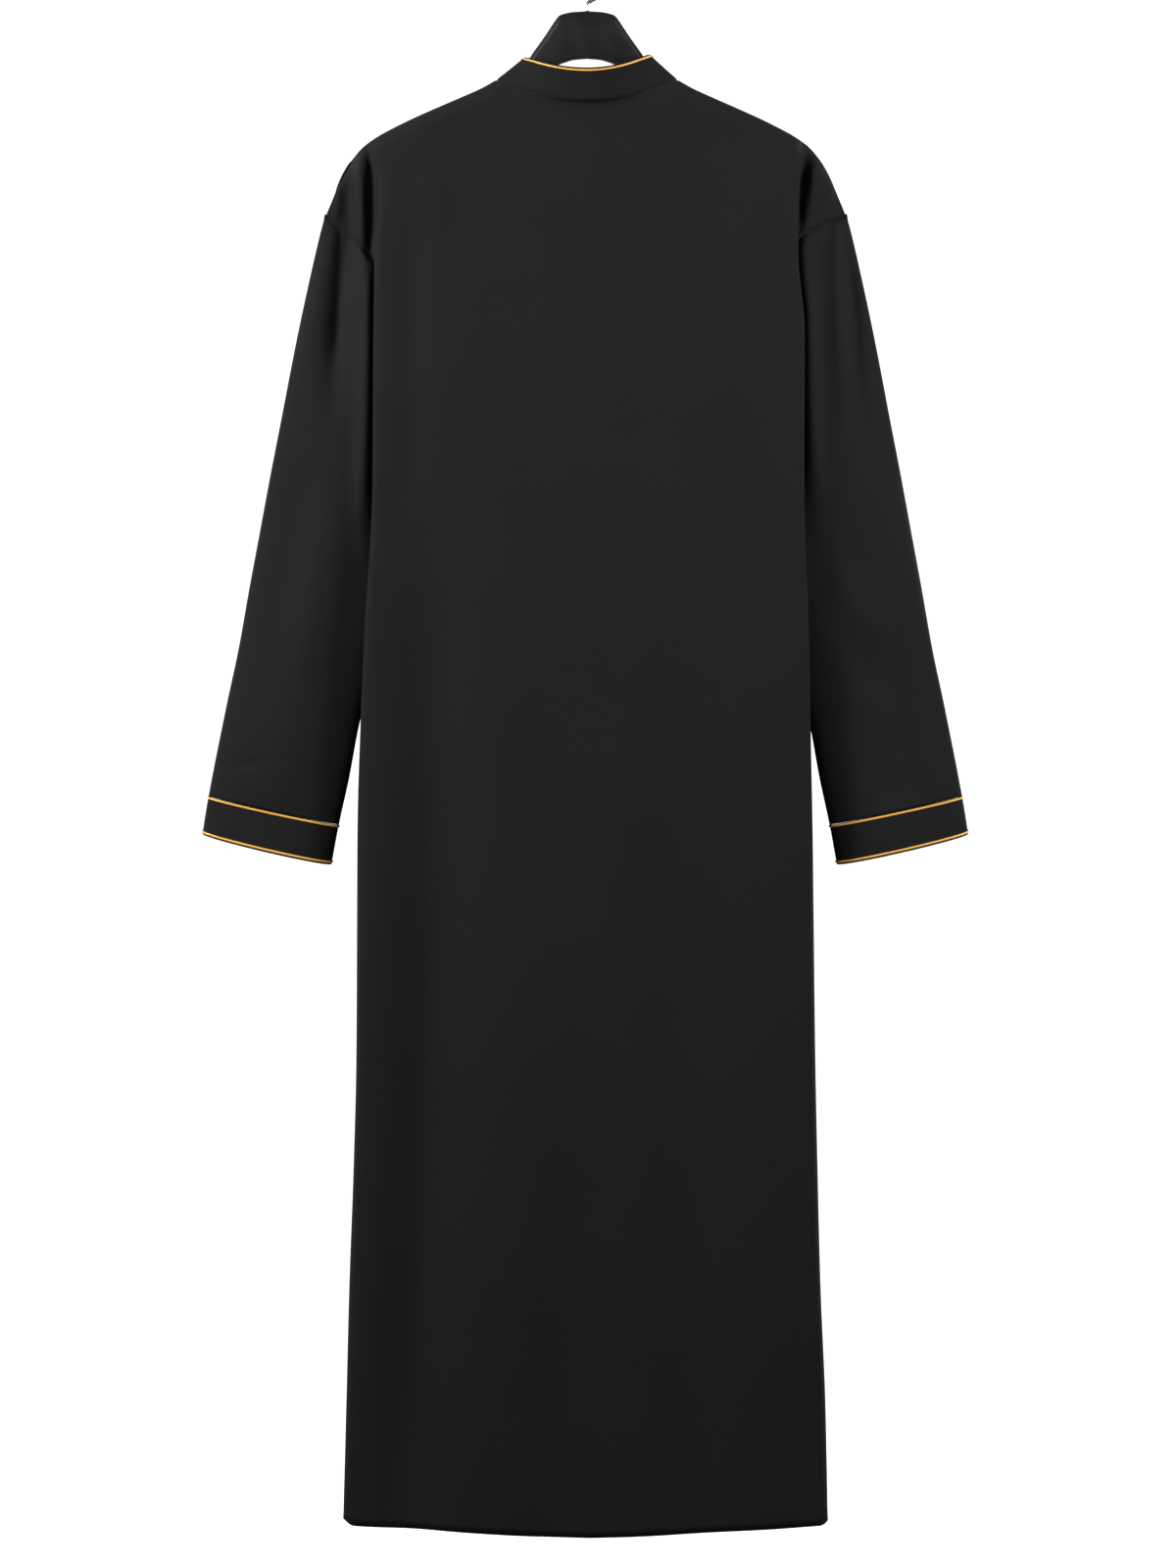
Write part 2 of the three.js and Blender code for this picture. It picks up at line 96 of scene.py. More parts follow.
# The line of the shoulder seam, from the neck to the tip of the dropped shoulder.
shoulderLine = rowsOf(
    "x drop",
    (88, 119.8), (101, 127.6), (116, 134.6), (134, 142.6), (163, 155.6), (182, 164.8),
    (202, 175.8), (215, 185.4), (224, 195.4), (230.5, 205), (236, 215.4), (244, 234.7),
    (252, 254),
)
# The stand collar's two loops: where it is sewn on, and its free top edge.
neckBase = {
    "half": 88, "back": 32, "front": 38,
    "sideDrop": {"left": 119.8, "right": 119.8}, "backDrop": 142.6, "frontDrop": 205,
}
neckTop = {
    "half": 61.2, "back": 41, "front": 44,
    "sideDrop": {"left": 98.4, "right": 95.6}, "backDrop": 112.9, "frontDrop": 172,
}

# The armhole seam, from the shoulder tip down behind the side fold to the underarm.
armholeSeam = rowsOf(
    "x depth left right",
    (252, 0.22, 254, 254), (229, 9, 273, 262), (207, 13.6, 292, 274), (190, 14, 318, 303),
    (176, 14, 358, 352), (163, 12.5, 412, 412), (147, 0.22, 465, 465),
)
# How far down each row of a panel has come, and how far along the armhole its edge is.
rowsDown = rowsOf(
    "row level edge",
    (0, 0, 0), (1, 0.03, 0.035), (2, 0.1, 0.08), (3, 0.22, 0.135), (4, 0.38, 0.2),
    (5, 0.56, 0.28), (6, 0.74, 0.37), (7, 0.9, 0.47), (8, 1, 0.58), (9, 1, 0.72),
    (10, 1, 0.86), (11, 1, 1),
)
# The body: where its side folds stand, how far a panel lies from the middle plane, and
# where the side seam lies inside the fold.
bodyShape = rowsOf(
    "drop left right depth seam",
    (178, 201, 206, 25, 147), (235, 201, 205, 27, 147), (293, 206, 205, 29, 147),
    (364, 207, 211, 30, 147), (520, 208, 210.5, 32, 142), (662, 215.7, 215, 34.5, 140),
    (752, 219.5, 216.6, 36, 139), (851, 222.3, 218.5, 37.5, 138), (1071, 223.3, 221, 41, 137),
    (1185, 226, 223.2, 42.5, 136), (1299, 230, 226, 44, 136), (1413, 232.8, 230.6, 45.5, 135),
    (1532.5, 235.8, 233, 47, 135),
)
underarmRow = rowsDown[-1]["row"]
robe = {
    "wall": 1.2,  # the cloth's thickness
    "seamGap": 0.22, "seamReach": 0.42,
    "reach": {"left": 1.011, "right": 1.002},  # the two sides hang a little apart
    "innerReach": {"left": 1.011, "right": 0.988},  # as do the sleeves' inner edges
    "reachFrom": 150,  # the shoulder seam has all of its reach from here outward
    "topFlat": 196, "topTurn": 24, "shoulderRound": 17, "shoulderBlend": 0.5,
    "underarm": 465, "underarmBlend": 0.05,
    "hem": 1532.5, "hemHalf": 235, "hemRise": 12.6, "hemPower": 1.3, "seamRise": 9,
    "hemCorner": 6, "cornerSpan": (222, 237),
    "rows": (88, 150),  # above and below the underarm
    "hemBand": 22,
    # small unevenness of hanging cloth, longer down the cloth than across it
    "tremble": 0.55, "trembleWide": 60, "trembleLong": 2.6,
}
trembleSeed = {"back": 3, "front": 9, "left": 21, "right": 33}
# The side fold's section: its radius at the underarm and at the hem, the degrees that it
# turns, fewer where the armhole lies far out, and how far its inner side runs straight.
sideFold = {
    "radius": (7, 10), "turn": (60, 180), "turnFrom": 186, "turnRate": 2,
    "leastRun": 6, "run": 0.94, "joined": 0.65,
}

# The soft folds: a depth, which is negative where the cloth is raised, a width, and the line
# from its first to its last point. They fade out over their two ends.
foldsOf = {
    "back": [
        # the long ones of the skirt
        (19, 34, [(-156, 480), (-148, 760), (-146, 940), (-154, 1180), (-166, 1400), (-170, 1700)]),
        (-3, 24, [(-204, 640), (-208, 1000), (-212, 1700)]),
        (-4, 44, [(-58, 900), (-62, 1250), (-66, 1700)]),
        (3.4, 34, [(-22, 1120), (-20, 1300), (-34, 1700)]),
        (-3, 40, [(46, 980), (58, 1300), (66, 1700)]),
        (5.5, 36, [(84, 560), (92, 900), (104, 1300), (120, 1700)]),
        (-4.5, 34, [(160, 700), (168, 1150), (176, 1700)]),
        # beside the side folds, below the hanger's ends
        (3.4, 15, [(-168, 216), (-166, 300), (-168, 420), (-172, 560)]),
        (-1, 13, [(-150, 186), (-146, 250), (-148, 360)]),
        (1.5, 13, [(180, 210), (182, 300), (186, 400), (188, 520)]),
        (-1.1, 15, [(158, 190), (162, 250), (168, 350)]),
        # faint ones over the shoulder blades and the chest
        (0.9, 20, [(-104, 168), (-128, 240), (-150, 360)]),
        (0.8, 22, [(108, 170), (132, 250), (150, 380)]),
    ],
    "front": [
        # the long ones of the skirt
        (6, 32, [(-150, 640), (-152, 900), (-158, 1250), (-164, 1700)]),
        (-4, 38, [(-60, 960), (-54, 1300), (-50, 1700)]),
        (4, 36, [(62, 800), (64, 1150), (70, 1700)]),
        (-4, 30, [(160, 700), (166, 1100), (172, 1700)]),
        # beside the side folds, below the hanger's ends
        (1.8, 13, [(-178, 206), (-181, 300), (-186, 460)]),
        (-1.2, 14, [(-158, 190), (-162, 250), (-168, 340)]),
        (1.6, 14, [(177, 200), (180, 290), (184, 430)]),
        (-1.2, 15, [(156, 190), (160, 246), (166, 330)]),
        # faint ones over the shoulder blades and the chest
        (1.1, 20, [(-96, 190), (-122, 270), (-146, 400)]),
        (1, 22, [(98, 186), (126, 262), (150, 390)]),
    ],
}
# The hollows and ridges beyond the side folds, where the cloth drops off the hanger's ends
# and runs over the armhole seam into the sleeves.
beyondFold = {
    ("left", "back"): [
        (8.5, 6, [(-212, 176), (-211, 214), (-210.5, 250), (-211, 318)]),
        (-5.5, 5.2, [(-220, 160), (-219, 216), (-217, 254), (-214, 300)]),
        (10, 10, [(-229, 160), (-232, 231), (-234, 272), (-238, 306), (-242, 350), (-248, 430)]),
    ],
    ("right", "back"): [
        (6.5, 5.4, [(211, 168), (209, 204), (206, 234), (202, 280)]),
        (4.5, 9, [(217, 171), (214, 206), (208, 236)]),
        (-4, 5, [(229, 184), (222, 212), (215, 244), (207, 286)]),
        (2, 8, [(240, 212), (240, 240), (236, 284)]),
    ],
    ("left", "front"): [
        (11, 6, [(-213, 174), (-212, 206), (-208, 238), (-203, 286)]),
        (-4.4, 4.8, [(-225, 186), (-221, 216), (-214, 250), (-208, 292)]),
    ],
    ("right", "front"): [
        (11.5, 5, [(210, 180), (210, 212), (208, 250), (205, 298)]),
        (-4.2, 4.4, [(220, 184), (219, 222), (216, 262), (212, 312)]),
        (7, 7, [(227, 196), (230, 236), (235, 282), (241, 350)]),
    ],
}
foldsOn = {
    ("left", "back"): [
        (-10, 9, [(-213, 236), (-213, 310), (-213, 380), (-215, 460), (-219, 580)]),
        (-4, 28, [(-240, 460), (-262, 600), (-280, 700), (-300, 860)]),
        (1.2, 8, [(-352, 800), (-316, 778), (-276, 770)]),
        (3, 12, [(-240, 340), (-244, 400), (-250, 470)]),
        (-2.2, 10, [(-262, 270), (-270, 340), (-276, 420)]),
        (2.4, 16, [(-268, 480), (-282, 560), (-300, 660)]),
        (-1.8, 18, [(-250, 520), (-262, 620), (-282, 740)]),
    ],
    ("right", "back"): [
        (-9, 10, [(211, 230), (212, 310), (216, 400), (219, 470), (225, 560)]),
        (3.5, 26, [(246, 500), (264, 610), (284, 710), (306, 860)]),
        (-2.2, 12, [(238, 588), (268, 636), (304, 676)]),
        (2, 12, [(240, 640), (270, 690), (300, 724)]),
        (-4.6, 5.5, [(242, 236), (244, 300), (246, 370), (250, 450)]),
        (4.4, 9, [(256, 270), (260, 340), (266, 420), (276, 520)]),
        (1.8, 16, [(262, 520), (284, 640), (306, 760)]),
        (-1.6, 18, [(292, 480), (306, 580), (318, 690)]),
    ],
    ("left", "front"): [
        (-7.5, 9, [(-219, 250), (-220, 320), (-224, 400), (-234, 500)]),
        (-3, 6, [(-240, 250), (-243, 320), (-247, 400)]),
        (3, 10, [(-255, 300), (-264, 400), (-278, 520)]),
        (1.8, 16, [(-286, 600), (-304, 700), (-318, 790)]),
    ],
    ("right", "front"): [
        (-8, 9, [(219, 256), (219, 320), (223, 390), (232, 470)]),
        (3, 11, [(246, 320), (250, 380), (258, 460)]),
        (2, 16, [(272, 500), (290, 600), (308, 700)]),
    ],
}


# A fold is felt out to its reach, in widths. It fades over a share of its length at either
# end, where some of its depth is left. Beyond the side fold it starts at that fold's edge.
foldForm = {"reach": 2.6, "fading": 0.3, "rest": 0.15, "starts": -1.5, "full": 2.4}


def alongLine(line, x, drop):
    # how far a place is from a line, and the share of the line passed at its nearest point
    nearest = (math.inf, 0)
    total = sum(math.dist(a, b) for a, b in zip(line, line[1:]))
    gone = 0
    for (ax, ay), (bx, by) in zip(line, line[1:]):
        length = math.dist((ax, ay), (bx, by))
        t = ((x - ax) * (bx - ax) + (drop - ay) * (by - ay)) / (length * length)
        t = min(max(t, 0), 1)
        away = math.hypot(x - mix(ax, bx, t), drop - mix(ay, by, t))
        if away < nearest[0]:
            nearest = (away, (gone + t * length) / total)
        gone += length
    return nearest


def foldDepth(folds, x, drop):
    depth = 0
    for deep, width, line in folds:
        reach = foldForm["reach"] * width
        if drop < line[0][1] - reach or drop > line[-1][1] + reach:
            continue
        away, share = alongLine(line, x, drop)
        if away < reach:
            whole = ease(share, 0, foldForm["fading"]) * (1 - ease(share, 1 - foldForm["fading"], 1))
            depth += deep * hump(away, width) * mix(foldForm["rest"], 1, whole)
    return depth


def besideFold(side, x, drop):
    # nothing on the side fold itself, all of a fold's depth a little beyond it
    return ease(abs(x) - foldAt[side](drop), foldForm["starts"], foldForm["full"])


def tremble(x, drop, seed, wide):
    return noise.noise(Vector((x / wide, drop / (wide * robe["trembleLong"]), seed)))


shoulderDrop = smoothCurve(shoulderLine, "x", "drop")
foldAt = {side: smoothCurve(bodyShape, "drop", side) for side in ("left", "right")}
depthAt = smoothCurve(bodyShape, "drop", "depth")
seamAt = smoothCurve(bodyShape, "drop", "seam")
levelAt = smoothCurve(rowsDown, "row", "level")
edgeAt = smoothCurve(rowsDown, "row", "edge")


def curveThrough(points):
    # a centripetal curve through points, read by the share of them passed
    points = [points[0] * 2 - points[1], *points, points[-1] * 2 - points[-2]]

    def read(share):
        at = min(max(share, 0), 1) * (len(points) - 3)
        i = min(int(at), len(points) - 4)
        a, b, c, d = points[i : i + 4]
        t = at - i
        ab, bc, cd = (math.sqrt((q - p).length) for p, q in ((a, b), (b, c), (c, d)))
        start = ((b - a) / ab - (c - a) / (ab + bc) + (c - b) / bc) * bc
        end = ((c - b) / bc - (d - b) / (bc + cd) + (d - c) / cd) * bc
        return b + start * t + ((c - b) * 3 - start * 2 - end) * t * t + ((b - c) * 2 + start + end) * t ** 3

    return read


armhole = {
    side: curveThrough([
        Vector((row["x"] * robe["reach"][side], row["depth"], row[side])) for row in armholeSeam
    ])
    for side in ("left", "right")
}


def neckPoint(loop, angle, side):
    forward = -math.cos(angle)
    y = (loop["back"] if forward < 0 else loop["front"]) * forward
    end = loop["backDrop"] if forward < 0 else loop["frontDrop"]
    drop = mix(loop["sideDrop"][side], end, forward ** 2)
    return Vector((signOf(side) * loop["half"] * math.sin(angle), y, -drop))


# A point of half a panel is (x from the centre, y from the middle plane, drop). Its column
# is cloth measured across: flat, then round the side fold, then back inside it.
flatEnd, turnEnd, clothEdge = robe["topFlat"], robe["topFlat"] + robe["topTurn"], 300


def columnPart(across):
    if across <= flatEnd:
        return "flat", across / flatEnd, across
    if across <= turnEnd:
        return "turn", (across - flatEnd) / (turnEnd - flatEnd), across
    at = (across - turnEnd) / (clothEdge - turnEnd)
    return "back", at, mix(turnEnd, armholeSeam[0]["x"], at)


def topEdge(top, panel, side):
    half = neckBase["half"]
    if top <= half:
        angle = math.asin(min(top / half, 1))
        p = neckPoint(neckBase, angle if panel == "back" else math.pi - angle, side)
        return Vector((abs(p.x), max(abs(p.y), robe["seamGap"]), -p.z))
    spread = mix(1, robe["reach"][side], ease(top, half, robe["reachFrom"]))
    return Vector((top * spread, robe["seamGap"], shoulderDrop(top)))


def sectionPoint(part, at, drop, edge, side):
    radius = mix(*sideFold["radius"], ease(drop, robe["underarm"], robe["hem"]))
    depth = depthAt(drop)
    flat = foldAt[side](drop) - radius
    if part == "flat":
        return at * flat, depth
    least, most = sideFold["turn"]
    turn = min(max(most - (edge[0] - sideFold["turnFrom"]) * sideFold["turnRate"], least), most)
    angle = math.radians(turn) * (at if part == "turn" else 1)
    x, y = flat + radius * math.sin(angle), depth - radius * (1 - math.cos(angle))
    if part == "turn":
        return x, y
    run = max(sideFold["leastRun"], (x - edge[0]) * sideFold["run"])
    knee = (x + run * math.cos(angle), y - run * math.sin(angle))
    return tuple(
        start * (1 - at) ** 2 + 2 * bend * at * (1 - at) + end * at * at
        for start, bend, end in zip((x, y), knee, edge)
    )


def halfPoint(panel, side, across, row):
    part, at, top = columnPart(across)
    if row > underarmRow:
        share = shareAt(row)
        level = mix(robe["underarm"], robe["hem"], share)
        seamX = mix(armhole[side](1).x, seamAt(level), ease(share, 0, robe["underarmBlend"]))
        x, y = sectionPoint(part, at, level, (seamX, robe["seamGap"]), side)
        hem = robe["hem"] - robe["hemRise"] * min(x / robe["hemHalf"], 1) ** robe["hemPower"]
        hem -= robe["hemCorner"] * ease(x, *robe["cornerSpan"]) ** 2
        hem -= robe["seamRise"] * at if part == "back" else 0
        return Vector((x, y, mix(robe["underarm"], hem, share)))
    on = armhole[side](edgeAt(row))
    joined = sideFold["joined"]
    if part == "back" and at > joined:  # from here the cloth runs straight to the armhole
        inner = halfPoint(panel, side, mix(turnEnd, clothEdge, joined), row)
        return inner.lerp(on, (at - joined) / (1 - joined))
    level = levelAt(row)
    edge = topEdge(top, panel, side)
    drop = mix(edge.z, on.z, level)
    x, y = sectionPoint(part, at, drop, on, side)
    fallen = min((drop - edge.z) / robe["shoulderRound"], 1)
    roundness = math.sqrt(max(1 - (1 - fallen) ** 2, 0))
    outward = mix(edge.x, x, ease(level, 0, robe["shoulderBlend"]))
    return Vector((outward, mix(edge.y, y, roundness), drop))


shareAt = smoothCurve(
    rowsOf(
        "row share",
        (11, 0), (12, 0.05), (13, 0.12), (14, 0.2), (15, 0.3), (22, 1),
    ),
    "row", "share",
)


# Where a panel's folds and unevenness set in, in columns beside the side fold and in rows
# below the shoulder seam, and the small forms of its hem's stitching and its edges.
panelForm = {
    "foldColumns": 14, "foldRows": (0.6, 3), "waveRows": (1, 4),
    "beyondTo": 8, "beyondRows": (0, 0.9),
    "hemDeep": 0.35, "hemLift": 8, "hemWide": 2.2,
    "rollDeep": 0.7, "rollColumns": 5, "rollRows": (3, 5), "seamColumns": 3,
}


def panelPoint(panel, across, row):
    side = "left" if across < 0 else "right"
    p = halfPoint(panel, side, abs(across), row)
    x = signOf(side) * p.x
    flat = 1 - ease(abs(across), flatEnd - panelForm["foldColumns"], turnEnd)  # the rest turns in
    depth = foldDepth(foldsOf[panel], x, p.z) * flat * ease(row, *panelForm["foldRows"])
    wave = robe["tremble"] * tremble(x, p.z, trembleSeed[panel], robe["trembleWide"])
    wave *= flat * ease(row, *panelForm["waveRows"])
    if abs(across) > flatEnd and row < panelForm["beyondTo"]:
        beyond = foldDepth(beyondFold[side, panel], x, p.z) * besideFold(side, x, p.z)
        depth += beyond * ease(row, *panelForm["beyondRows"])
    hemLine = robe["hem"] - panelForm["hemLift"] - robe["hemBand"]
    hem = panelForm["hemDeep"] * hump(hemLine - p.z, panelForm["hemWide"]) * flat
    roll = panelForm["rollDeep"] * ease(abs(across), clothEdge - panelForm["rollColumns"], clothEdge)
    roll *= 1 - ease(row, *panelForm["rollRows"])
    y = max(p.y - depth + wave - hem - roll, robe["seamGap"])
    if panel == "back" and row > underarmRow:  # below the underarm its edge reaches the front's
        y -= robe["seamReach"] * ease(abs(across), clothEdge - panelForm["seamColumns"], clothEdge)
    return Vector((x, -y if panel == "back" else y, -p.z))


weld = {"ring": 0.0006, "tube": 0.00001}  # metres


# A grid of faces, placed point by point. place gives a point in millimetres and where it lies
# on the flat cloth, which the weave follows.
def placedGrid(columns, rows, place):
    bm = bmesh.new()
    weave = bm.loops.layers.uv.new("weave")
    bmesh.ops.create_grid(bm, x_segments=columns, y_segments=rows, size=1)
    onCloth = {}
    for vert in bm.verts:
        point, onCloth[vert] = place((vert.co.x + 1) / 2, (1 - vert.co.y) / 2)
        vert.co = point / 1000
    for face in bm.faces:
        face.smooth = True
        for loop in face.loops:
            loop[weave].uv = onCloth[loop.vert]
    return bm


# A sheet of cloth with a thickness, which faces outward and may close to a ring.
def clothGrid(name, columns, rows, place, wall, ring=False, soften=0):
    bm = placedGrid(columns, rows, place)
    if ring:
        bmesh.ops.remove_doubles(bm, verts=bm.verts, dist=weld["ring"])
    inner = [vert for vert in bm.verts if not vert.is_boundary]
    for _ in range(soften):
        bmesh.ops.smooth_vert(
            bm, verts=inner, factor=0.5, use_axis_x=True, use_axis_y=True, use_axis_z=True,
        )
    facing = sum(
        face.calc_area() * math.copysign(face.normal.y, face.normal.y * face.calc_center_median().y)
        for face in bm.faces
    )
    if facing < 0:
        bmesh.ops.reverse_faces(bm, faces=bm.faces)
    return finishPiece(name, bm, wall)


def finishPiece(name, bm, wall=None):
    mesh = bpy.data.meshes.new(name)
    bm.to_mesh(mesh)
    bm.free()
    piece = bpy.data.objects.new(name, mesh)
    bpy.context.collection.objects.link(piece)
    if wall:
        solid = piece.modifiers.new("cloth thickness", "SOLIDIFY")
        solid.thickness = wall / 1000
        solid.offset = -1
    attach(piece, "root")
    return piece


# A closed tube: u along it and v round it.
def tubeGrid(name, along, around, place, ring=False):
    bm = placedGrid(along, around, place)
    bmesh.ops.remove_doubles(bm, verts=bm.verts, dist=weld["tube"])
    if not ring:
        bmesh.ops.holes_fill(bm, edges=[edge for edge in bm.edges if edge.is_boundary], sides=0)
    bmesh.ops.recalc_face_normals(bm, faces=bm.faces)
    return finishPiece(name, bm)


# The body's two panels, cut on the fold.
panelColumns = {"flat": 50, "turn": 12, "back": 13}  # of half a panel


def columnAt(u):
    flat, turn, back = panelColumns.values()
    steps = abs(u * 2 - 1) * (flat + turn + back)
    if steps <= flat:
        half = steps / flat * flatEnd
    elif steps <= flat + turn:
        half = flatEnd + (steps - flat) / turn * (turnEnd - flatEnd)
    else:
        half = turnEnd + (steps - flat - turn) / back * (clothEdge - turnEnd)
    return math.copysign(half, u - 0.5)


def rowAt(v):
    above, below = robe["rows"]
    step = v * (above + below)
    passed = step / above if step <= above else 1 + (step - above) / below
    return passed * underarmRow


def panelCloth(panel):
    def place(u, v):
        column, row = columnAt(u), rowAt(v)
        point = panelPoint(panel, column, row)
        return point, (column, -point.z)

    columns = 2 * sum(panelColumns.values())
    piece = clothGrid(panel + "_cloth", columns, sum(robe["rows"]), place, robe["wall"], soften=2)
    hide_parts(panel + "_panel")
    return piece


backCloth = panelCloth("back")
frontCloth = panelCloth("front")
print("panels made")

# The neck placket, a fastened strip down the front with its topstitching.
placket = {
    "half": 18, "rows": 12, "lift": 1.5, "clear": 0.3, "wall": 1.1, "grid": (36, 150),
    "edgeWide": 1.2, "edgeLow": 0.4, "dimple": 0.18,
}
stitch = {
    "in": 2.6, "step": 3.3, "long": 2.3, "wide": 0.26, "high": 0.2, "sunk": 0.05,
    "rows": (0.25, 0.12), "search": 0.004, "footRows": (0.1, 0.62),
}


def placketPoint(across, row, lift):
    point = panelPoint("front", across, row)
    column, step = probe["column"], probe["row"]
    beside = panelPoint("front", across + column, row) - panelPoint("front", across - column, row)
    below = panelPoint("front", across, row + step) - panelPoint("front", across, max(row - step, 0))
    normal = beside.cross(below).normalized()
    out = normal * math.copysign(placket["clear"] + lift, normal.y)
    return point + out, beside.normalized(), below.normalized()


def placketCloth():
    def place(u, v):
        side, row = (u * 2 - 1) * placket["half"], v * placket["rows"]
        edge = min(placket["half"] - abs(side), placket["edgeWide"]) / placket["edgeWide"]
        dimple = placket["dimple"] * hump(abs(side) - placket["half"] + stitch["in"], 1)
        lift = placket["lift"] - placket["edgeLow"] * (1 - edge) - dimple
        point = placketPoint(side, row, lift)[0]
        return point, (side, -point.z)

    piece = clothGrid("placket_cloth", *placket["grid"], place, placket["wall"])
    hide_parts("placket")
    return piece


def placketStitches():
    bm = bmesh.new()
    side = placket["half"] - stitch["in"]
    row, end = stitch["rows"][0], placket["rows"] - stitch["rows"][1]
    travelled, last = stitch["step"], None
    places = []
    while row < end:
        point = panelPoint("front", side, row)
        travelled += (point - last).length if last else 0
        last = point
        if travelled >= stitch["step"]:
            travelled = 0
            places += [(side, row, False), (-side, row, False)]
        row += stitch["search"]
    steps = int(2 * side / stitch["step"])
    for above in stitch["footRows"]:  # the tacked box at its foot
        foot = placket["rows"] - above
        places += [(mix(-side, side, (n + 0.5) / steps), foot, True) for n in range(steps)]
    for across, row, level in places:
        point, beside, below = placketPoint(across, row, placket["lift"] - stitch["sunk"])
        long, wide = (beside, below) if level else (below, beside)
        for vert in bmesh.ops.create_icosphere(bm, subdivisions=1, radius=1)["verts"]:
            x, y, z = vert.co
            place = point + long * x * stitch["long"] / 2 + wide * y * stitch["wide"]
            vert.co = (place + long.cross(wide) * z * stitch["high"]) / 1000
    bmesh.ops.recalc_face_normals(bm, faces=bm.faces)
    piece = finishPiece("placket_stitches", bm)
    return piece


placketPiece = placketCloth()
placketThread = placketStitches()
print("placket made")

# The stand collar, open at the centre front, with satin piping just under its free edge.
collar = {
    "height": 33, "radius": 78, "frontGap": 1.5, "wall": 1.4, "bow": -0.3, "grid": (220, 28),
    "foot": 0.08, "tuck": 1.7, "tuckSpan": (-0.035, 0.03),  # its foot goes under the neck edge
    "pipingIn": 1.4, "pipingSteps": 260, "pipingLong": 430,
}
piping = {"width": 2.1, "height": 0.9, "lift": 0.2, "under": 0.12, "sides": 12, "around": 8}


def collarPoint(angle, height):
    side = "left" if angle < 0 else "right"
    low = neckPoint(neckBase, abs(angle), side)
    high = neckPoint(neckTop, abs(angle), side)
    point = low.lerp(high, height)
    away = Vector((point.x, point.y, 0)).normalized()
    return point + away * collar["bow"] * math.sin(math.pi * min(max(height, 0), 1))


def collarNormal(angle, height):
    turn, rise = probe["angle"], probe["height"]
    beside = collarPoint(angle + turn, height) - collarPoint(angle - turn, height)
    below = collarPoint(angle, height - rise) - collarPoint(angle, height + rise)
    normal = beside.cross(below).normalized()
    middle = collarPoint(angle, height)
    return normal if normal.x * middle.x + normal.y * middle.y > 0 else -normal


collarEnd = math.pi - collar["frontGap"] / 2 / neckTop["half"]


def collarCloth():
    def place(u, v):
        angle, height = (u * 2 - 1) * collarEnd, 1 - v * (1 + collar["foot"])
        inward = collarNormal(angle, height) * collar["tuck"] * ease(-height, *collar["tuckSpan"])
        return collarPoint(angle, height) - inward, (angle * collar["radius"], height * collar["height"])

    piece = clothGrid("collar_cloth", *collar["grid"], place, collar["wall"])
    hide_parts("collar")
    return piece


# A satin trim is a soft half-round tube laid on a surface. spot gives a point on the surface
# and the way out of it, at a share of the trim's length and a distance across it.
def trimPiece(name, steps, spot, ring, length):
    def place(u, v):
        turn = math.tau * v
        out = math.sin(turn) * (1 if turn < math.pi else piping["under"])
        point, normal = spot(u, math.cos(turn) * piping["width"] / 2)
        lift = piping["lift"] + piping["height"] * out
        return point + normal * lift, (u * length, v * piping["around"])

    piece = tubeGrid(name, steps, piping["sides"], place, ring)
    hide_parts(name.replace("_trim", ""))
    return piece


def collarTrimSpot(u, across):
    angle = (u * 2 - 1) * collarEnd
    height = 1 - (collar["pipingIn"] + piping["width"] / 2 + across) / collar["height"]
    return collarPoint(angle, height), collarNormal(angle, height)


collarPiece = collarCloth()
collarTrim = trimPiece(
    "collar_piping_trim", collar["pipingSteps"], collarTrimSpot, False, collar["pipingLong"],
)
print("collar made")

# The sleeves and cuffs, as rings from the outer edge along the back to the inner edge and
# along the front again. The section runs down the sleeve, from the armhole to the cuff.
sleeveShape = rowsOf(
    "section outer inner half sag freed",
    (0, 254, 465, 13, 0, 0), (1, 284, 484, 13, 0, 0.3), (2, 326, 510, 13, 0, 0.6),
    (3, 384, 546, 13, 0.4, 0.86), (4, 452, 592, 13.5, 0.8, 1), (5, 534, 648, 14, 1.4, 1),
    (6, 622, 706, 14.5, 1.8, 1), (7, 706, 764.6, 14.5, 2, 1), (8, 770, 811, 14.5, 2, 1),
    (9, 815.8, 843.6, 14.5, 2, 1),
)
outerEdge = rowsOf(
    "drop x",
    (254, 252), (292, 262.5), (330, 271), (387, 282.6), (444, 293), (501, 304), (558, 314.5),
    (615, 325), (672, 335), (729, 347), (821.5, 365), (852.8, 370),
)
innerEdge = rowsOf(
    "drop x",
    (465, 147), (560, 172), (660, 198), (752, 220), (798, 228.5), (846.5, 239), (882.3, 245.6),
)
sleeve = {
    "clear": 1.2, "turn": (185, 205), "startRows": (-0.2, 0.4), "underarmFrom": 8,
    "fullness": 0.8, "around": 112, "rows": 120, "wall": 1.2, "girth": (470, 262), "length": 590,
    "allowance": 5, "allowanceRows": 0.15, "under": 1.7, "tuckTo": 0.12, "belowAt": 0.35,
    "foldStart": (0.005, 0.05), "foldEnd": 0.05, "foldSides": (0.3, 2.2),
    "trembleMore": 1.3, "trembleWide": 42,
}
cuff = {
    "outer": (816.2, 852.8), "inner": (844, 882.3), "half": 14.5, "sag": (2, 3.6),
    "wall": 1.9, "length": 37, "girth": 262, "bow": 0.35, "grid": (120, 14),
    "pipingIn": 0.01, "pipingSteps": 200,
}
outerAt = smoothCurve(outerEdge, "drop", "x")
innerAt = smoothCurve(innerEdge, "drop", "x")
sectionAt = {
    key: smoothCurve(sleeveShape, "section", key) for key in ("outer", "inner", "half", "sag", "freed")
}


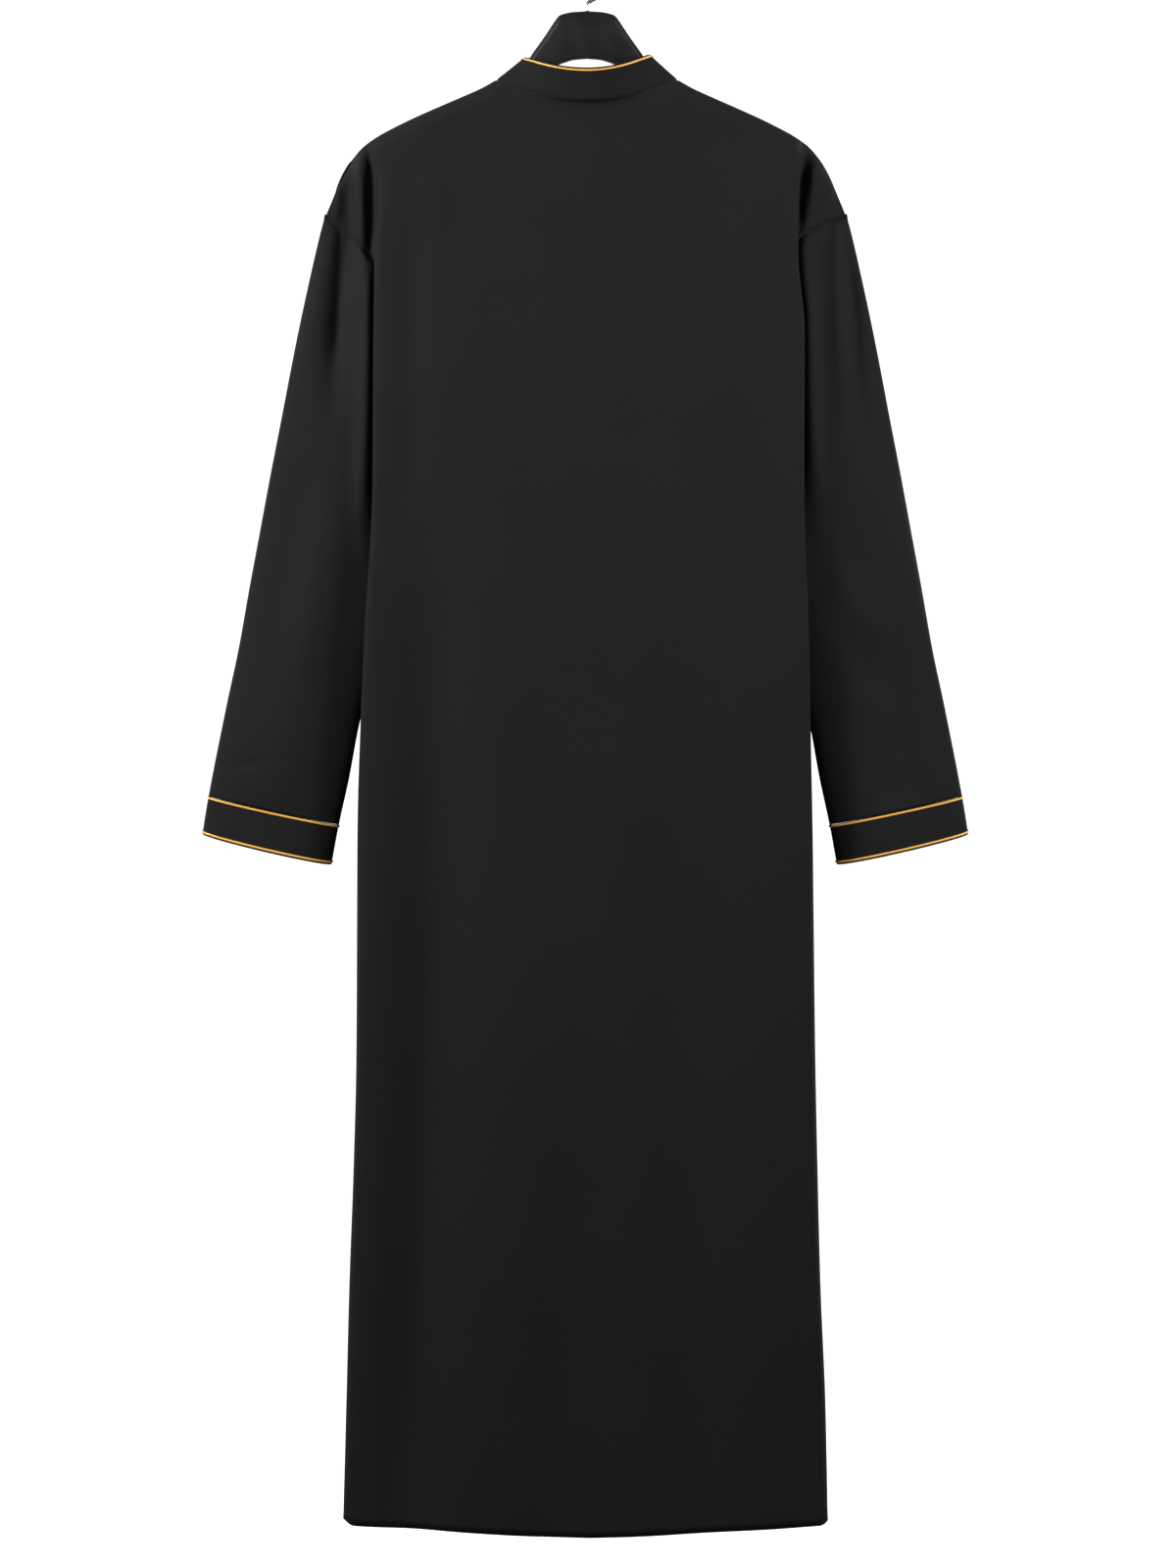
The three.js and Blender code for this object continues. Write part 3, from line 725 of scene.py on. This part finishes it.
def ringPoint(side, around, section):
    # around runs from 0 at the outer edge to the underarm's row at the inner edge
    angle = math.pi * around / underarmRow
    toInner = (1 - math.cos(angle)) / 2
    roundness = max(math.sin(angle), 0) ** sleeve["fullness"]
    outerX = outerAt(section["outer"]) * robe["reach"][side]
    innerX = innerAt(section["inner"]) * robe["innerReach"][side]
    free = Vector((
        mix(outerX, innerX, toInner), section["half"] * roundness,
        mix(section["outer"], section["inner"], toInner) + section["sag"] * roundness,
    ))
    if section["freed"] >= 1:
        return free
    seam = armhole[side](edgeAt(around))
    inFold = 1 - ease(seam.x, *sleeve["turn"])
    atUnderarm = ease(around, sleeve["underarmFrom"], underarmRow)
    start = Vector((
        seam.x + sleeve["clear"] * (1 - inFold + atUnderarm),
        max(seam.y - sleeve["clear"] * inFold, 0) * ease(around, *sleeve["startRows"]),
        seam.z + sleeve["clear"] * (1 - inFold),
    ))
    return start.lerp(free, section["freed"])


def sleevePoint(side, u, v):
    face = "back" if u <= 0.5 else "front"
    around = 2 * underarmRow * min(u, 1 - u)
    extra = sleeve["allowanceRows"]  # it starts with the seam allowance, tucked under the panels
    down = v * (sleeveShape[-1]["section"] + extra) - extra
    section = {key: read(max(down, 0)) for key, read in sectionAt.items()}
    p = ringPoint(side, around, section)
    if down < sleeve["tuckTo"]:
        lower = {key: read(sleeve["belowAt"]) for key, read in sectionAt.items()}
        along = (ringPoint(side, around, lower) - p).normalized()
        p -= along * sleeve["allowance"] * max(-down, 0) / extra
        p.y = max(p.y - sleeve["under"] * (1 - ease(down, -extra, sleeve["tuckTo"])), 0)
    x = signOf(side) * p.x
    beside = besideFold(side, x, p.z)
    folded = beside * ease(v, *sleeve["foldStart"]) * ease(1 - v, 0, sleeve["foldEnd"])
    folded *= ease(min(around, underarmRow - around), *sleeve["foldSides"])
    y = p.y - foldDepth(foldsOn[side, face], x, p.z) * folded
    y = max(y - foldDepth(beyondFold[side, face], x, p.z) * beside, 0)
    wave = tremble(x, p.z, trembleSeed[side], sleeve["trembleWide"])
    y += robe["tremble"] * sleeve["trembleMore"] * wave * folded
    return Vector((x, -y if face == "back" else y, -p.z))


def cuffPoint(side, u, share):
    around = 2 * underarmRow * min(u, 1 - u)
    section = {
        "outer": mix(*cuff["outer"], share), "inner": mix(*cuff["inner"], share),
        "half": cuff["half"] + cuff["bow"] * math.sin(math.pi * share),
        "sag": mix(*cuff["sag"], share), "freed": 1,
    }
    p = ringPoint(side, around, section)
    return Vector((signOf(side) * p.x, -p.y if u <= 0.5 else p.y, -p.z))


def cuffNormal(side, u, share):
    step, down = probe["round"], probe["height"]
    beside = cuffPoint(side, (u + step) % 1, share) - cuffPoint(side, (u - step) % 1, share)
    below = cuffPoint(side, u, share + down) - cuffPoint(side, u, share - down)
    normal = beside.cross(below).normalized()
    middle = (cuffPoint(side, 0, share) + cuffPoint(side, 0.5, share)) / 2
    return normal if normal.dot(cuffPoint(side, u, share) - middle) > 0 else -normal


def sleeveCloth(side):
    def place(u, v):
        return sleevePoint(side, u, v), ((u - 0.5) * mix(*sleeve["girth"], v), v * sleeve["length"])

    piece = clothGrid(
        f"sleeve_{side}_cloth", sleeve["around"], sleeve["rows"], place, sleeve["wall"],
        ring=True, soften=1,
    )
    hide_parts(f"sleeve_{side}")
    return piece


def cuffCloth(side):
    def place(u, v):
        return cuffPoint(side, u, v), ((u - 0.5) * cuff["girth"], v * cuff["length"])

    piece = clothGrid(f"cuff_{side}_cloth", *cuff["grid"], place, cuff["wall"], ring=True)
    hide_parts(f"cuff_{side}")
    return piece


def cuffTrim(side, edge):
    middle = cuff["pipingIn"] + piping["width"] / 2 / cuff["length"]
    if edge == "lower":
        middle = 1 - (collar["pipingIn"] + piping["width"] / 2) / cuff["length"]

    def spot(u, across):
        share = middle + across / cuff["length"]
        return cuffPoint(side, u % 1, share), cuffNormal(side, u % 1, share)

    name = f"cuff_piping_{edge}_{side}_trim"
    return trimPiece(name, cuff["pipingSteps"], spot, True, cuff["girth"])


sleevePieces = {side: sleeveCloth(side) for side in ("left", "right")}
cuffPieces = {side: cuffCloth(side) for side in ("left", "right")}
cuffTrims = {side: [cuffTrim(side, edge) for edge in ("upper", "lower")] for side in ("left", "right")}
print("sleeves and cuffs made")

# The moulded hanger: flat faces with a bevel all round at its arch, round in its arms.
hanger = {
    "bevel": 5.7, "bevelDeep": 3.2, "lowBevel": 1.0, "bevelMost": 0.45, "edgeMost": 0.5,
    "corner": 0.8, "cornerSoft": 0.3, "flatSpan": (0.02, 0.45),
    "columns": 260, "around": 24, "girth": 100,
}
hangerShape = rowsOf(
    "x top bottom half square",
    (0, 53.9, 99, 9, 0.4), (13, 54.6, 100.2, 9, 0.4), (20, 55.8, 102.2, 9, 0.4),
    (26.8, 58, 104.6, 9, 0.4), (30.4, 62.2, 106.2, 9, 0.42), (35.4, 69.6, 109, 9, 0.45),
    (40.4, 77.2, 112.5, 8.8, 0.5), (46.4, 85.6, 116.5, 8.5, 0.6), (53, 94.6, 122, 8, 0.75),
    (58.4, 102.6, 127, 7.6, 0.95), (65, 110.6, 133, 7.6, 1), (76, 121.6, 143, 8, 1),
    (88, 130.2, 153, 9.5, 1), (101, 133.2, 161.5, 13, 1), (116, 138, 169, 16.5, 1),
    (134, 145.4, 178.5, 19, 1), (163, 158.3, 193, 21, 1), (182, 167.9, 202.5, 21.5, 1),
    (196, 176.2, 207.6, 19.5, 1), (203, 182.2, 207, 15.5, 1), (208, 187, 205, 10, 1),
    (210.5, 192, 202.5, 4.5, 1), (211, 196.4, 198.6, 1, 1),
)
hangerAt = {key: smoothCurve(hangerShape, "x", key) for key in ("top", "bottom", "half", "square")}


def hangerCorners(half, high, slope):
    # the section's eight corners, each as three points so that the bevels keep soft edges
    tall = min(hanger["bevel"] * math.sqrt(1 + slope * slope), high * hanger["bevelMost"])
    deep = min(hanger["bevelDeep"], half * hanger["edgeMost"])
    low = min(hanger["lowBevel"], half * hanger["edgeMost"])
    quarter = [(half, high - tall), (half - deep, high)]
    corners = quarter + [(-y, z) for y, z in reversed(quarter)]
    corners += [(-half, low - high), (low - half, -high), (half - low, -high), (half, low - high)]
    points = []
    for n, corner in enumerate(corners):
        here = Vector(corner)
        before, after = Vector(corners[n - 1]), Vector(corners[(n + 1) % len(corners)])
        toBefore, toAfter = (before - here).normalized(), (after - here).normalized()
        soft = hanger["corner"]
        rounded = here + (toBefore + toAfter) * soft * hanger["cornerSoft"]
        points += [here + toBefore * soft, rounded, here + toAfter * soft]
    return points


def hangerPiece():
    count = hanger["around"]
    reach = hangerShape[-1]["x"]

    def place(u, v):
        x = (u * 2 - 1) * reach
        away = abs(x)
        top, bottom, half = (hangerAt[key](away) for key in ("top", "bottom", "half"))
        slope = hangerAt["top"](away + 0.5) - hangerAt["top"](max(away - 0.5, 0))  # over 1 mm
        high, middle = (bottom - top) / 2, (top + bottom) / 2
        index = round(v * count)
        corner = hangerCorners(half, high, slope)[index % count]
        angle = math.tau * (index + 0.5) / count
        oval = Vector((half * math.cos(angle), high * math.sin(angle)))
        flatness = ease(1 - hangerAt["square"](away), *hanger["flatSpan"])
        y, z = oval.lerp(corner, flatness)
        return Vector((x, y, z - middle)), (x, v * hanger["girth"])

    piece = tubeGrid("hanger_moulding", hanger["columns"], count, place)
    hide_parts("hanger")
    return piece


hook = {
    "wire": 4, "bend": 22, "degrees": (-58, -35, -10, 20, 50, 80, 110, 140, 170, 195),
    "foot": 53.6, "stemTop": 45, "straight": 4, "lean": 1.5,
    "ferrule": 0.3, "ferruleSpan": (0.4, 1), "tip": 2,
    "columns": 220, "around": 20, "length": 150, "girth": 12,
}


def hookPiece():
    middle = hook["bend"] - hook["wire"] / 2
    top = -hook["stemTop"]
    points = [
        Vector((0, 0, -hook["foot"])), Vector((0, 0, top - hook["straight"])),
        Vector((hook["lean"], 0, top)),
    ]
    for degrees in hook["degrees"]:
        angle = math.radians(degrees)
        points.append(Vector((hook["bend"] * math.cos(angle), 0, -middle + hook["bend"] * math.sin(angle))))
    path = curveThrough(points)
    end = path(1)

    def place(u, v):
        here = path(u)
        along = (path(u + probe["share"]) - path(u - probe["share"])).normalized()
        toTip = min((here - end).length / hook["tip"], 1)
        radius = hook["wire"] / 2 * math.sqrt(max(1 - (1 - toTip) ** 2, 0))
        radius += hook["ferrule"] * (1 - ease(here.z + hook["foot"], *hook["ferruleSpan"]))
        turn = math.tau * v
        side = along.cross(Vector((0, 1, 0)))
        out = side * math.cos(turn) + Vector((0, math.sin(turn), 0))
        return here + out * radius, (u * hook["length"], v * hook["girth"])

    piece = tubeGrid("hook_wire", hook["columns"], hook["around"], place)
    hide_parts("hook")
    return piece


hangerMoulding = hangerPiece()
hookWire = hookPiece()
print("hanger and hook made")

# Materials. The weave follows each piece's own cloth map, which is in millimetres.
waveScale = 0.314  # a wave texture's scale for bands a millimetre apart


def newMaterial(name):
    material = bpy.data.materials.new(name)
    material.use_nodes = True
    nodes = material.node_tree.nodes
    shader = nodes["Principled BSDF"]

    def add(kind, **values):
        node = nodes.new("ShaderNode" + kind)
        for key, value in values.items():
            if hasattr(node, key):
                setattr(node, key, value)
            else:
                node.inputs[key.replace("_", " ")].default_value = value
        return node

    def link(node, out, into, socket):
        material.node_tree.links.new(node.outputs[out], into.inputs[socket])

    return material, shader, add, link


def tint(add, link, node, out, stops):
    ramp = add("ValToRGB")
    elements = ramp.color_ramp.elements
    for element, (position, colour) in zip(elements, stops):
        element.position, element.color = position, (*colour, 1)
    for position, colour in stops[2:]:
        elements.new(position).color = (*colour, 1)
    link(node, out, ramp, "Fac")
    return ramp


suiting = {
    "dark": (0.0085, 0.0085, 0.009), "light": (0.0125, 0.0125, 0.0132),
    "rib": 0.55, "ribTurn": 58, "twist": 0.42, "twistTurn": -12,
    "heather": 1400, "heatherShare": 0.75, "patch": 9, "patchShare": 0.25,
    "roughness": (0.72, 0.9), "specular": 0.08, "sheen": 0.02, "bump": 0.28,
}


def robeCloth():
    material, shader, add, link = newMaterial("robe cloth")
    cloth = add("UVMap", uv_map="weave")
    place = add("TexCoord")
    ribTurn = add("Mapping", Rotation=(0, 0, math.radians(suiting["ribTurn"])))
    threadTurn = add("Mapping", Rotation=(0, 0, math.radians(suiting["twistTurn"])))
    link(cloth, "UV", ribTurn, "Vector")
    link(cloth, "UV", threadTurn, "Vector")
    rib = add("TexWave", Scale=waveScale / suiting["rib"], Distortion=0.8, Detail=1.0)
    link(ribTurn, "Vector", rib, "Vector")
    thread = add(
        "TexWave", bands_direction="Y", Scale=waveScale / suiting["twist"], Distortion=1.2, Detail=1.0,
    )
    link(threadTurn, "Vector", thread, "Vector")
    weave = add("Math", operation="MULTIPLY")
    link(rib, "Fac", weave, 0)
    link(thread, "Fac", weave, 1)
    heather = add("TexNoise", Scale=suiting["heather"], Detail=2.0, Roughness=0.6)
    link(place, "Object", heather, "Vector")
    patch = add("TexNoise", Scale=suiting["patch"], Detail=3.0, Roughness=0.5)
    link(place, "Object", patch, "Vector")
    broad = add("Math", operation="MULTIPLY")
    link(patch, "Fac", broad, 0)
    broad.inputs[1].default_value = suiting["patchShare"]
    fleck = add("Math", operation="MULTIPLY_ADD")
    link(heather, "Fac", fleck, 0)
    fleck.inputs[1].default_value = suiting["heatherShare"]
    link(broad, "Value", fleck, 2)
    colour = tint(add, link, fleck, "Value", [(0.3, suiting["dark"]), (0.7, suiting["light"])])
    link(colour, "Color", shader, "Base Color")
    smooth, rough = suiting["roughness"]
    dull = add("MapRange", To_Min=smooth, To_Max=rough)
    link(heather, "Fac", dull, "Value")
    link(dull, "Result", shader, "Roughness")
    raised = add("Bump", Strength=suiting["bump"], Distance=0.00012)
    link(weave, "Value", raised, "Height")
    link(raised, "Normal", shader, "Normal")
    shader.inputs["Specular IOR Level"].default_value = suiting["specular"]
    shader.inputs["Sheen Weight"].default_value = suiting["sheen"]
    shader.inputs["Sheen Roughness"].default_value = 0.5
    return material


# deep and pale are painted shade and painted highlight: the trim's edges take deep and its crown pale, with
# warm between; the slub noise also moves the tone at random
satin = {
    "deep": (0.22, 0.07, 0.006), "warm": (0.58, 0.25, 0.028), "pale": (0.88, 0.48, 0.085),
    "thread": 0.5, "threadTurn": 24, "slub": 0.5, "slubShare": 0.8, "roughness": (0.24, 0.36),
}


def satinPiping():
    material, shader, add, link = newMaterial("gold satin")
    cloth = add("UVMap", uv_map="weave")
    part = add("SeparateXYZ")
    link(cloth, "UV", part, "Vector")
    paintedCrownLight = add("Math", operation="PINGPONG")
    link(part, "Y", paintedCrownLight, 0)
    paintedCrownLight.inputs[1].default_value = piping["around"] / 4  # painted highlight along the crown of the trim's outer half and of its underside, painted shade at its two edges
    turned = add("Mapping", Rotation=(0, 0, math.radians(satin["threadTurn"])))
    link(cloth, "UV", turned, "Vector")
    threads = add("TexWave", Scale=waveScale / satin["thread"], Distortion=0.6, Detail=1.0)
    link(turned, "Vector", threads, "Vector")
    slub = add("TexNoise", Scale=satin["slub"], Detail=2.0)
    link(cloth, "UV", slub, "Vector")
    # the slub's random tone plus the painted crown highlight and painted edge shade
    slubAndPaintedLight = add("Math", operation="MULTIPLY_ADD")
    link(slub, "Fac", slubAndPaintedLight, 0)
    slubAndPaintedLight.inputs[1].default_value = satin["slubShare"]
    link(paintedCrownLight, "Value", slubAndPaintedLight, 2)
    spread = add("MapRange", From_Max=2.4)
    link(slubAndPaintedLight, "Value", spread, "Value")
    colour = tint(
        add, link, spread, "Result",
        [(0.15, satin["deep"]), (0.8, satin["pale"]), (0.45, satin["warm"])],
    )
    link(colour, "Color", shader, "Base Color")
    smooth, rough = satin["roughness"]
    shine = add("MapRange", To_Min=smooth, To_Max=rough)
    link(threads, "Fac", shine, "Value")
    link(shine, "Result", shader, "Roughness")
    raised = add("Bump", Strength=0.2, Distance=0.0001)
    link(threads, "Fac", raised, "Height")
    link(raised, "Normal", shader, "Normal")
    shader.inputs["Specular IOR Level"].default_value = 0.5
    shader.inputs["Sheen Weight"].default_value = 0.05
    return material


plastic = {
    "dark": (0.007, 0.007, 0.008), "light": (0.013, 0.013, 0.0145),
    "grain": 900, "flow": 40, "roughness": (0.38, 0.5), "specular": 0.22,
}


def hangerPlastic():
    material, shader, add, link = newMaterial("hanger plastic")
    place = add("TexCoord")
    grain = add("TexNoise", Scale=plastic["grain"], Detail=3.0)
    link(place, "Object", grain, "Vector")
    flow = add("TexNoise", Scale=plastic["flow"], Detail=2.0)
    link(place, "Object", flow, "Vector")
    colour = tint(add, link, flow, "Fac", [(0.3, plastic["dark"]), (0.75, plastic["light"])])
    link(colour, "Color", shader, "Base Color")
    smooth, rough = plastic["roughness"]
    gloss = add("MapRange", To_Min=smooth, To_Max=rough)
    link(flow, "Fac", gloss, "Value")
    link(gloss, "Result", shader, "Roughness")
    raised = add("Bump", Strength=0.12, Distance=0.00008)
    link(grain, "Fac", raised, "Height")
    link(raised, "Normal", shader, "Normal")
    shader.inputs["Specular IOR Level"].default_value = plastic["specular"]
    return material


steel = {"dark": (0.62, 0.63, 0.64), "light": (0.72, 0.73, 0.74), "roughness": (0.12, 0.26)}


def hookSteel():
    material, shader, add, link = newMaterial("plated steel")
    cloth = add("UVMap", uv_map="weave")
    stretched = add("Mapping", Scale=(0.08, 3.0, 1.0))
    link(cloth, "UV", stretched, "Vector")
    drawn = add("TexNoise", Scale=2.0, Detail=3.0)  # the fine lines that drawing the wire leaves
    link(stretched, "Vector", drawn, "Vector")
    colour = tint(add, link, drawn, "Fac", [(0.3, steel["dark"]), (0.7, steel["light"])])
    link(colour, "Color", shader, "Base Color")
    smooth, rough = steel["roughness"]
    gloss = add("MapRange", To_Min=smooth, To_Max=rough)
    link(drawn, "Fac", gloss, "Value")
    link(gloss, "Result", shader, "Roughness")
    raised = add("Bump", Strength=0.08, Distance=0.00005)
    link(drawn, "Fac", raised, "Height")
    link(raised, "Normal", shader, "Normal")
    shader.inputs["Metallic"].default_value = 1.0
    return material


def wear(material, *pieces):
    for piece in pieces:
        piece.data.materials.clear()
        piece.data.materials.append(material)


allCloth = [
    backCloth, frontCloth, placketPiece, placketThread, collarPiece,
    *sleevePieces.values(), *cuffPieces.values(),
]
wear(robeCloth(), *allCloth)
wear(satinPiping(), collarTrim, *cuffTrims["left"], *cuffTrims["right"])
wear(hangerPlastic(), hangerMoulding)
wear(hookSteel(), hookWire)
print("materials made")

# Each side's cuff trims, taken as a list and left unused.
for side in ("left", "right"):
    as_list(cuffTrims[side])

# A pale round floor that sweeps up to a white wall, and soft lamps at the four corners.
studio = {
    "floor": -1.72, "room": 0.2, "lens": 142.1, "sensor": 36, "clip": 60,
    "far": 6.0, "near": -0.018, "aside": 0.00095, "level": -0.8047, "lamp": (0.5, 0.9),
}
sweepRoom = {
    "reach": 9, "bend": 4, "wall": 12, "steps": 16, "turns": 96,
    "near": 0.3, "away": 1.7, "glow": 1.06,
}
lamps = rowsOf(
    "name place aim power",
    ("left lamp", (-1.55, -0.85, 0.2), (0, 0, -0.7), 53),
    ("right lamp", (1.55, -0.85, 0.1), (0, 0, -0.8), 35),
    ("front left lamp", (-1.6, 1.0, -0.4), (0, 0, -0.6), 14),
    ("front right lamp", (1.6, 1.0, -0.5), (0, 0, -0.6), 18),
)


def makeSweep():
    bm = bmesh.new()
    corner = [(sweepRoom["reach"], studio["floor"])]
    for step in range(1, sweepRoom["steps"] + 1):
        angle = math.pi / 2 * step / sweepRoom["steps"]
        corner.append((
            sweepRoom["reach"] + sweepRoom["bend"] * math.sin(angle),
            studio["floor"] + sweepRoom["bend"] * (1 - math.cos(angle)),
        ))
    profile = [(0, studio["floor"]), *corner, (corner[-1][0], corner[-1][1] + sweepRoom["wall"])]
    verts = [bm.verts.new((x, 0, z)) for x, z in profile]
    edges = [bm.edges.new(pair) for pair in zip(verts, verts[1:])]
    bmesh.ops.spin(
        bm, geom=verts + edges, axis=(0, 0, 1), angle=math.tau, steps=sweepRoom["turns"], use_merge=True,
    )
    bmesh.ops.remove_doubles(bm, verts=bm.verts, dist=0.0001)
    bmesh.ops.recalc_face_normals(bm, faces=bm.faces)
    mesh = bpy.data.meshes.new("sweep")
    for face in bm.faces:
        face.smooth = True
    bm.to_mesh(mesh)
    bm.free()
    sweep = bpy.data.objects.new("sweep", mesh)
    bpy.context.collection.objects.link(sweep)
    sweep.visible_diffuse = sweep.visible_glossy = False  # the lamps alone light the robe
    material, shader, add, link = newMaterial("white sweep")
    shader.inputs["Base Color"].default_value = (0.82, 0.82, 0.82, 1)
    shader.inputs["Roughness"].default_value = 0.9
    shader.inputs["Specular IOR Level"].default_value = 0.1
    place, away = add("TexCoord"), add("VectorMath", operation="LENGTH")
    link(place, "Object", away, 0)
    lit = add("MapRange", interpolation_type="SMOOTHSTEP")
    reach = [math.hypot(studio["floor"], sweepRoom[key]) for key in ("near", "away")]
    for socket, value in zip(("From Min", "From Max", "To Max"), (*reach, sweepRoom["glow"])):
        lit.inputs[socket].default_value = value
    link(away, "Value", lit, "Value")
    link(lit, "Result", shader, "Emission Strength")
    shader.inputs["Emission Color"].default_value = (1, 1, 1, 1)
    sweep.data.materials.append(material)


def softLamp(name, place, aim, power):
    lamp = bpy.data.lights.new(name, "AREA")
    lamp.shape = "RECTANGLE"
    lamp.size, lamp.size_y = studio["lamp"]
    lamp.energy = power
    holder = bpy.data.objects.new(name, lamp)
    bpy.context.collection.objects.link(holder)
    holder.location = place
    holder.rotation_euler = (Vector(aim) - Vector(place)).to_track_quat("-Z", "Y").to_euler()


makeSweep()
world = bpy.data.worlds.new("pale room")
world.use_nodes = True
world.node_tree.nodes["Background"].inputs["Color"].default_value = (1, 1, 1, 1)
world.node_tree.nodes["Background"].inputs["Strength"].default_value = studio["room"]
bpy.context.scene.world = world
for row in lamps:
    softLamp(**row)

camera = bpy.data.objects.new("camera", bpy.data.cameras.new("camera"))
bpy.context.collection.objects.link(camera)
camera.data.lens = studio["lens"]
camera.data.sensor_width = studio["sensor"]
camera.data.clip_end = studio["clip"]
camera.location = (studio["aside"], studio["near"] - studio["far"], studio["level"])
camera.rotation_euler = (math.radians(90), 0, 0)
bpy.context.scene.camera = camera
bpy.context.scene.view_settings.view_transform = "Standard"
print("stage made")
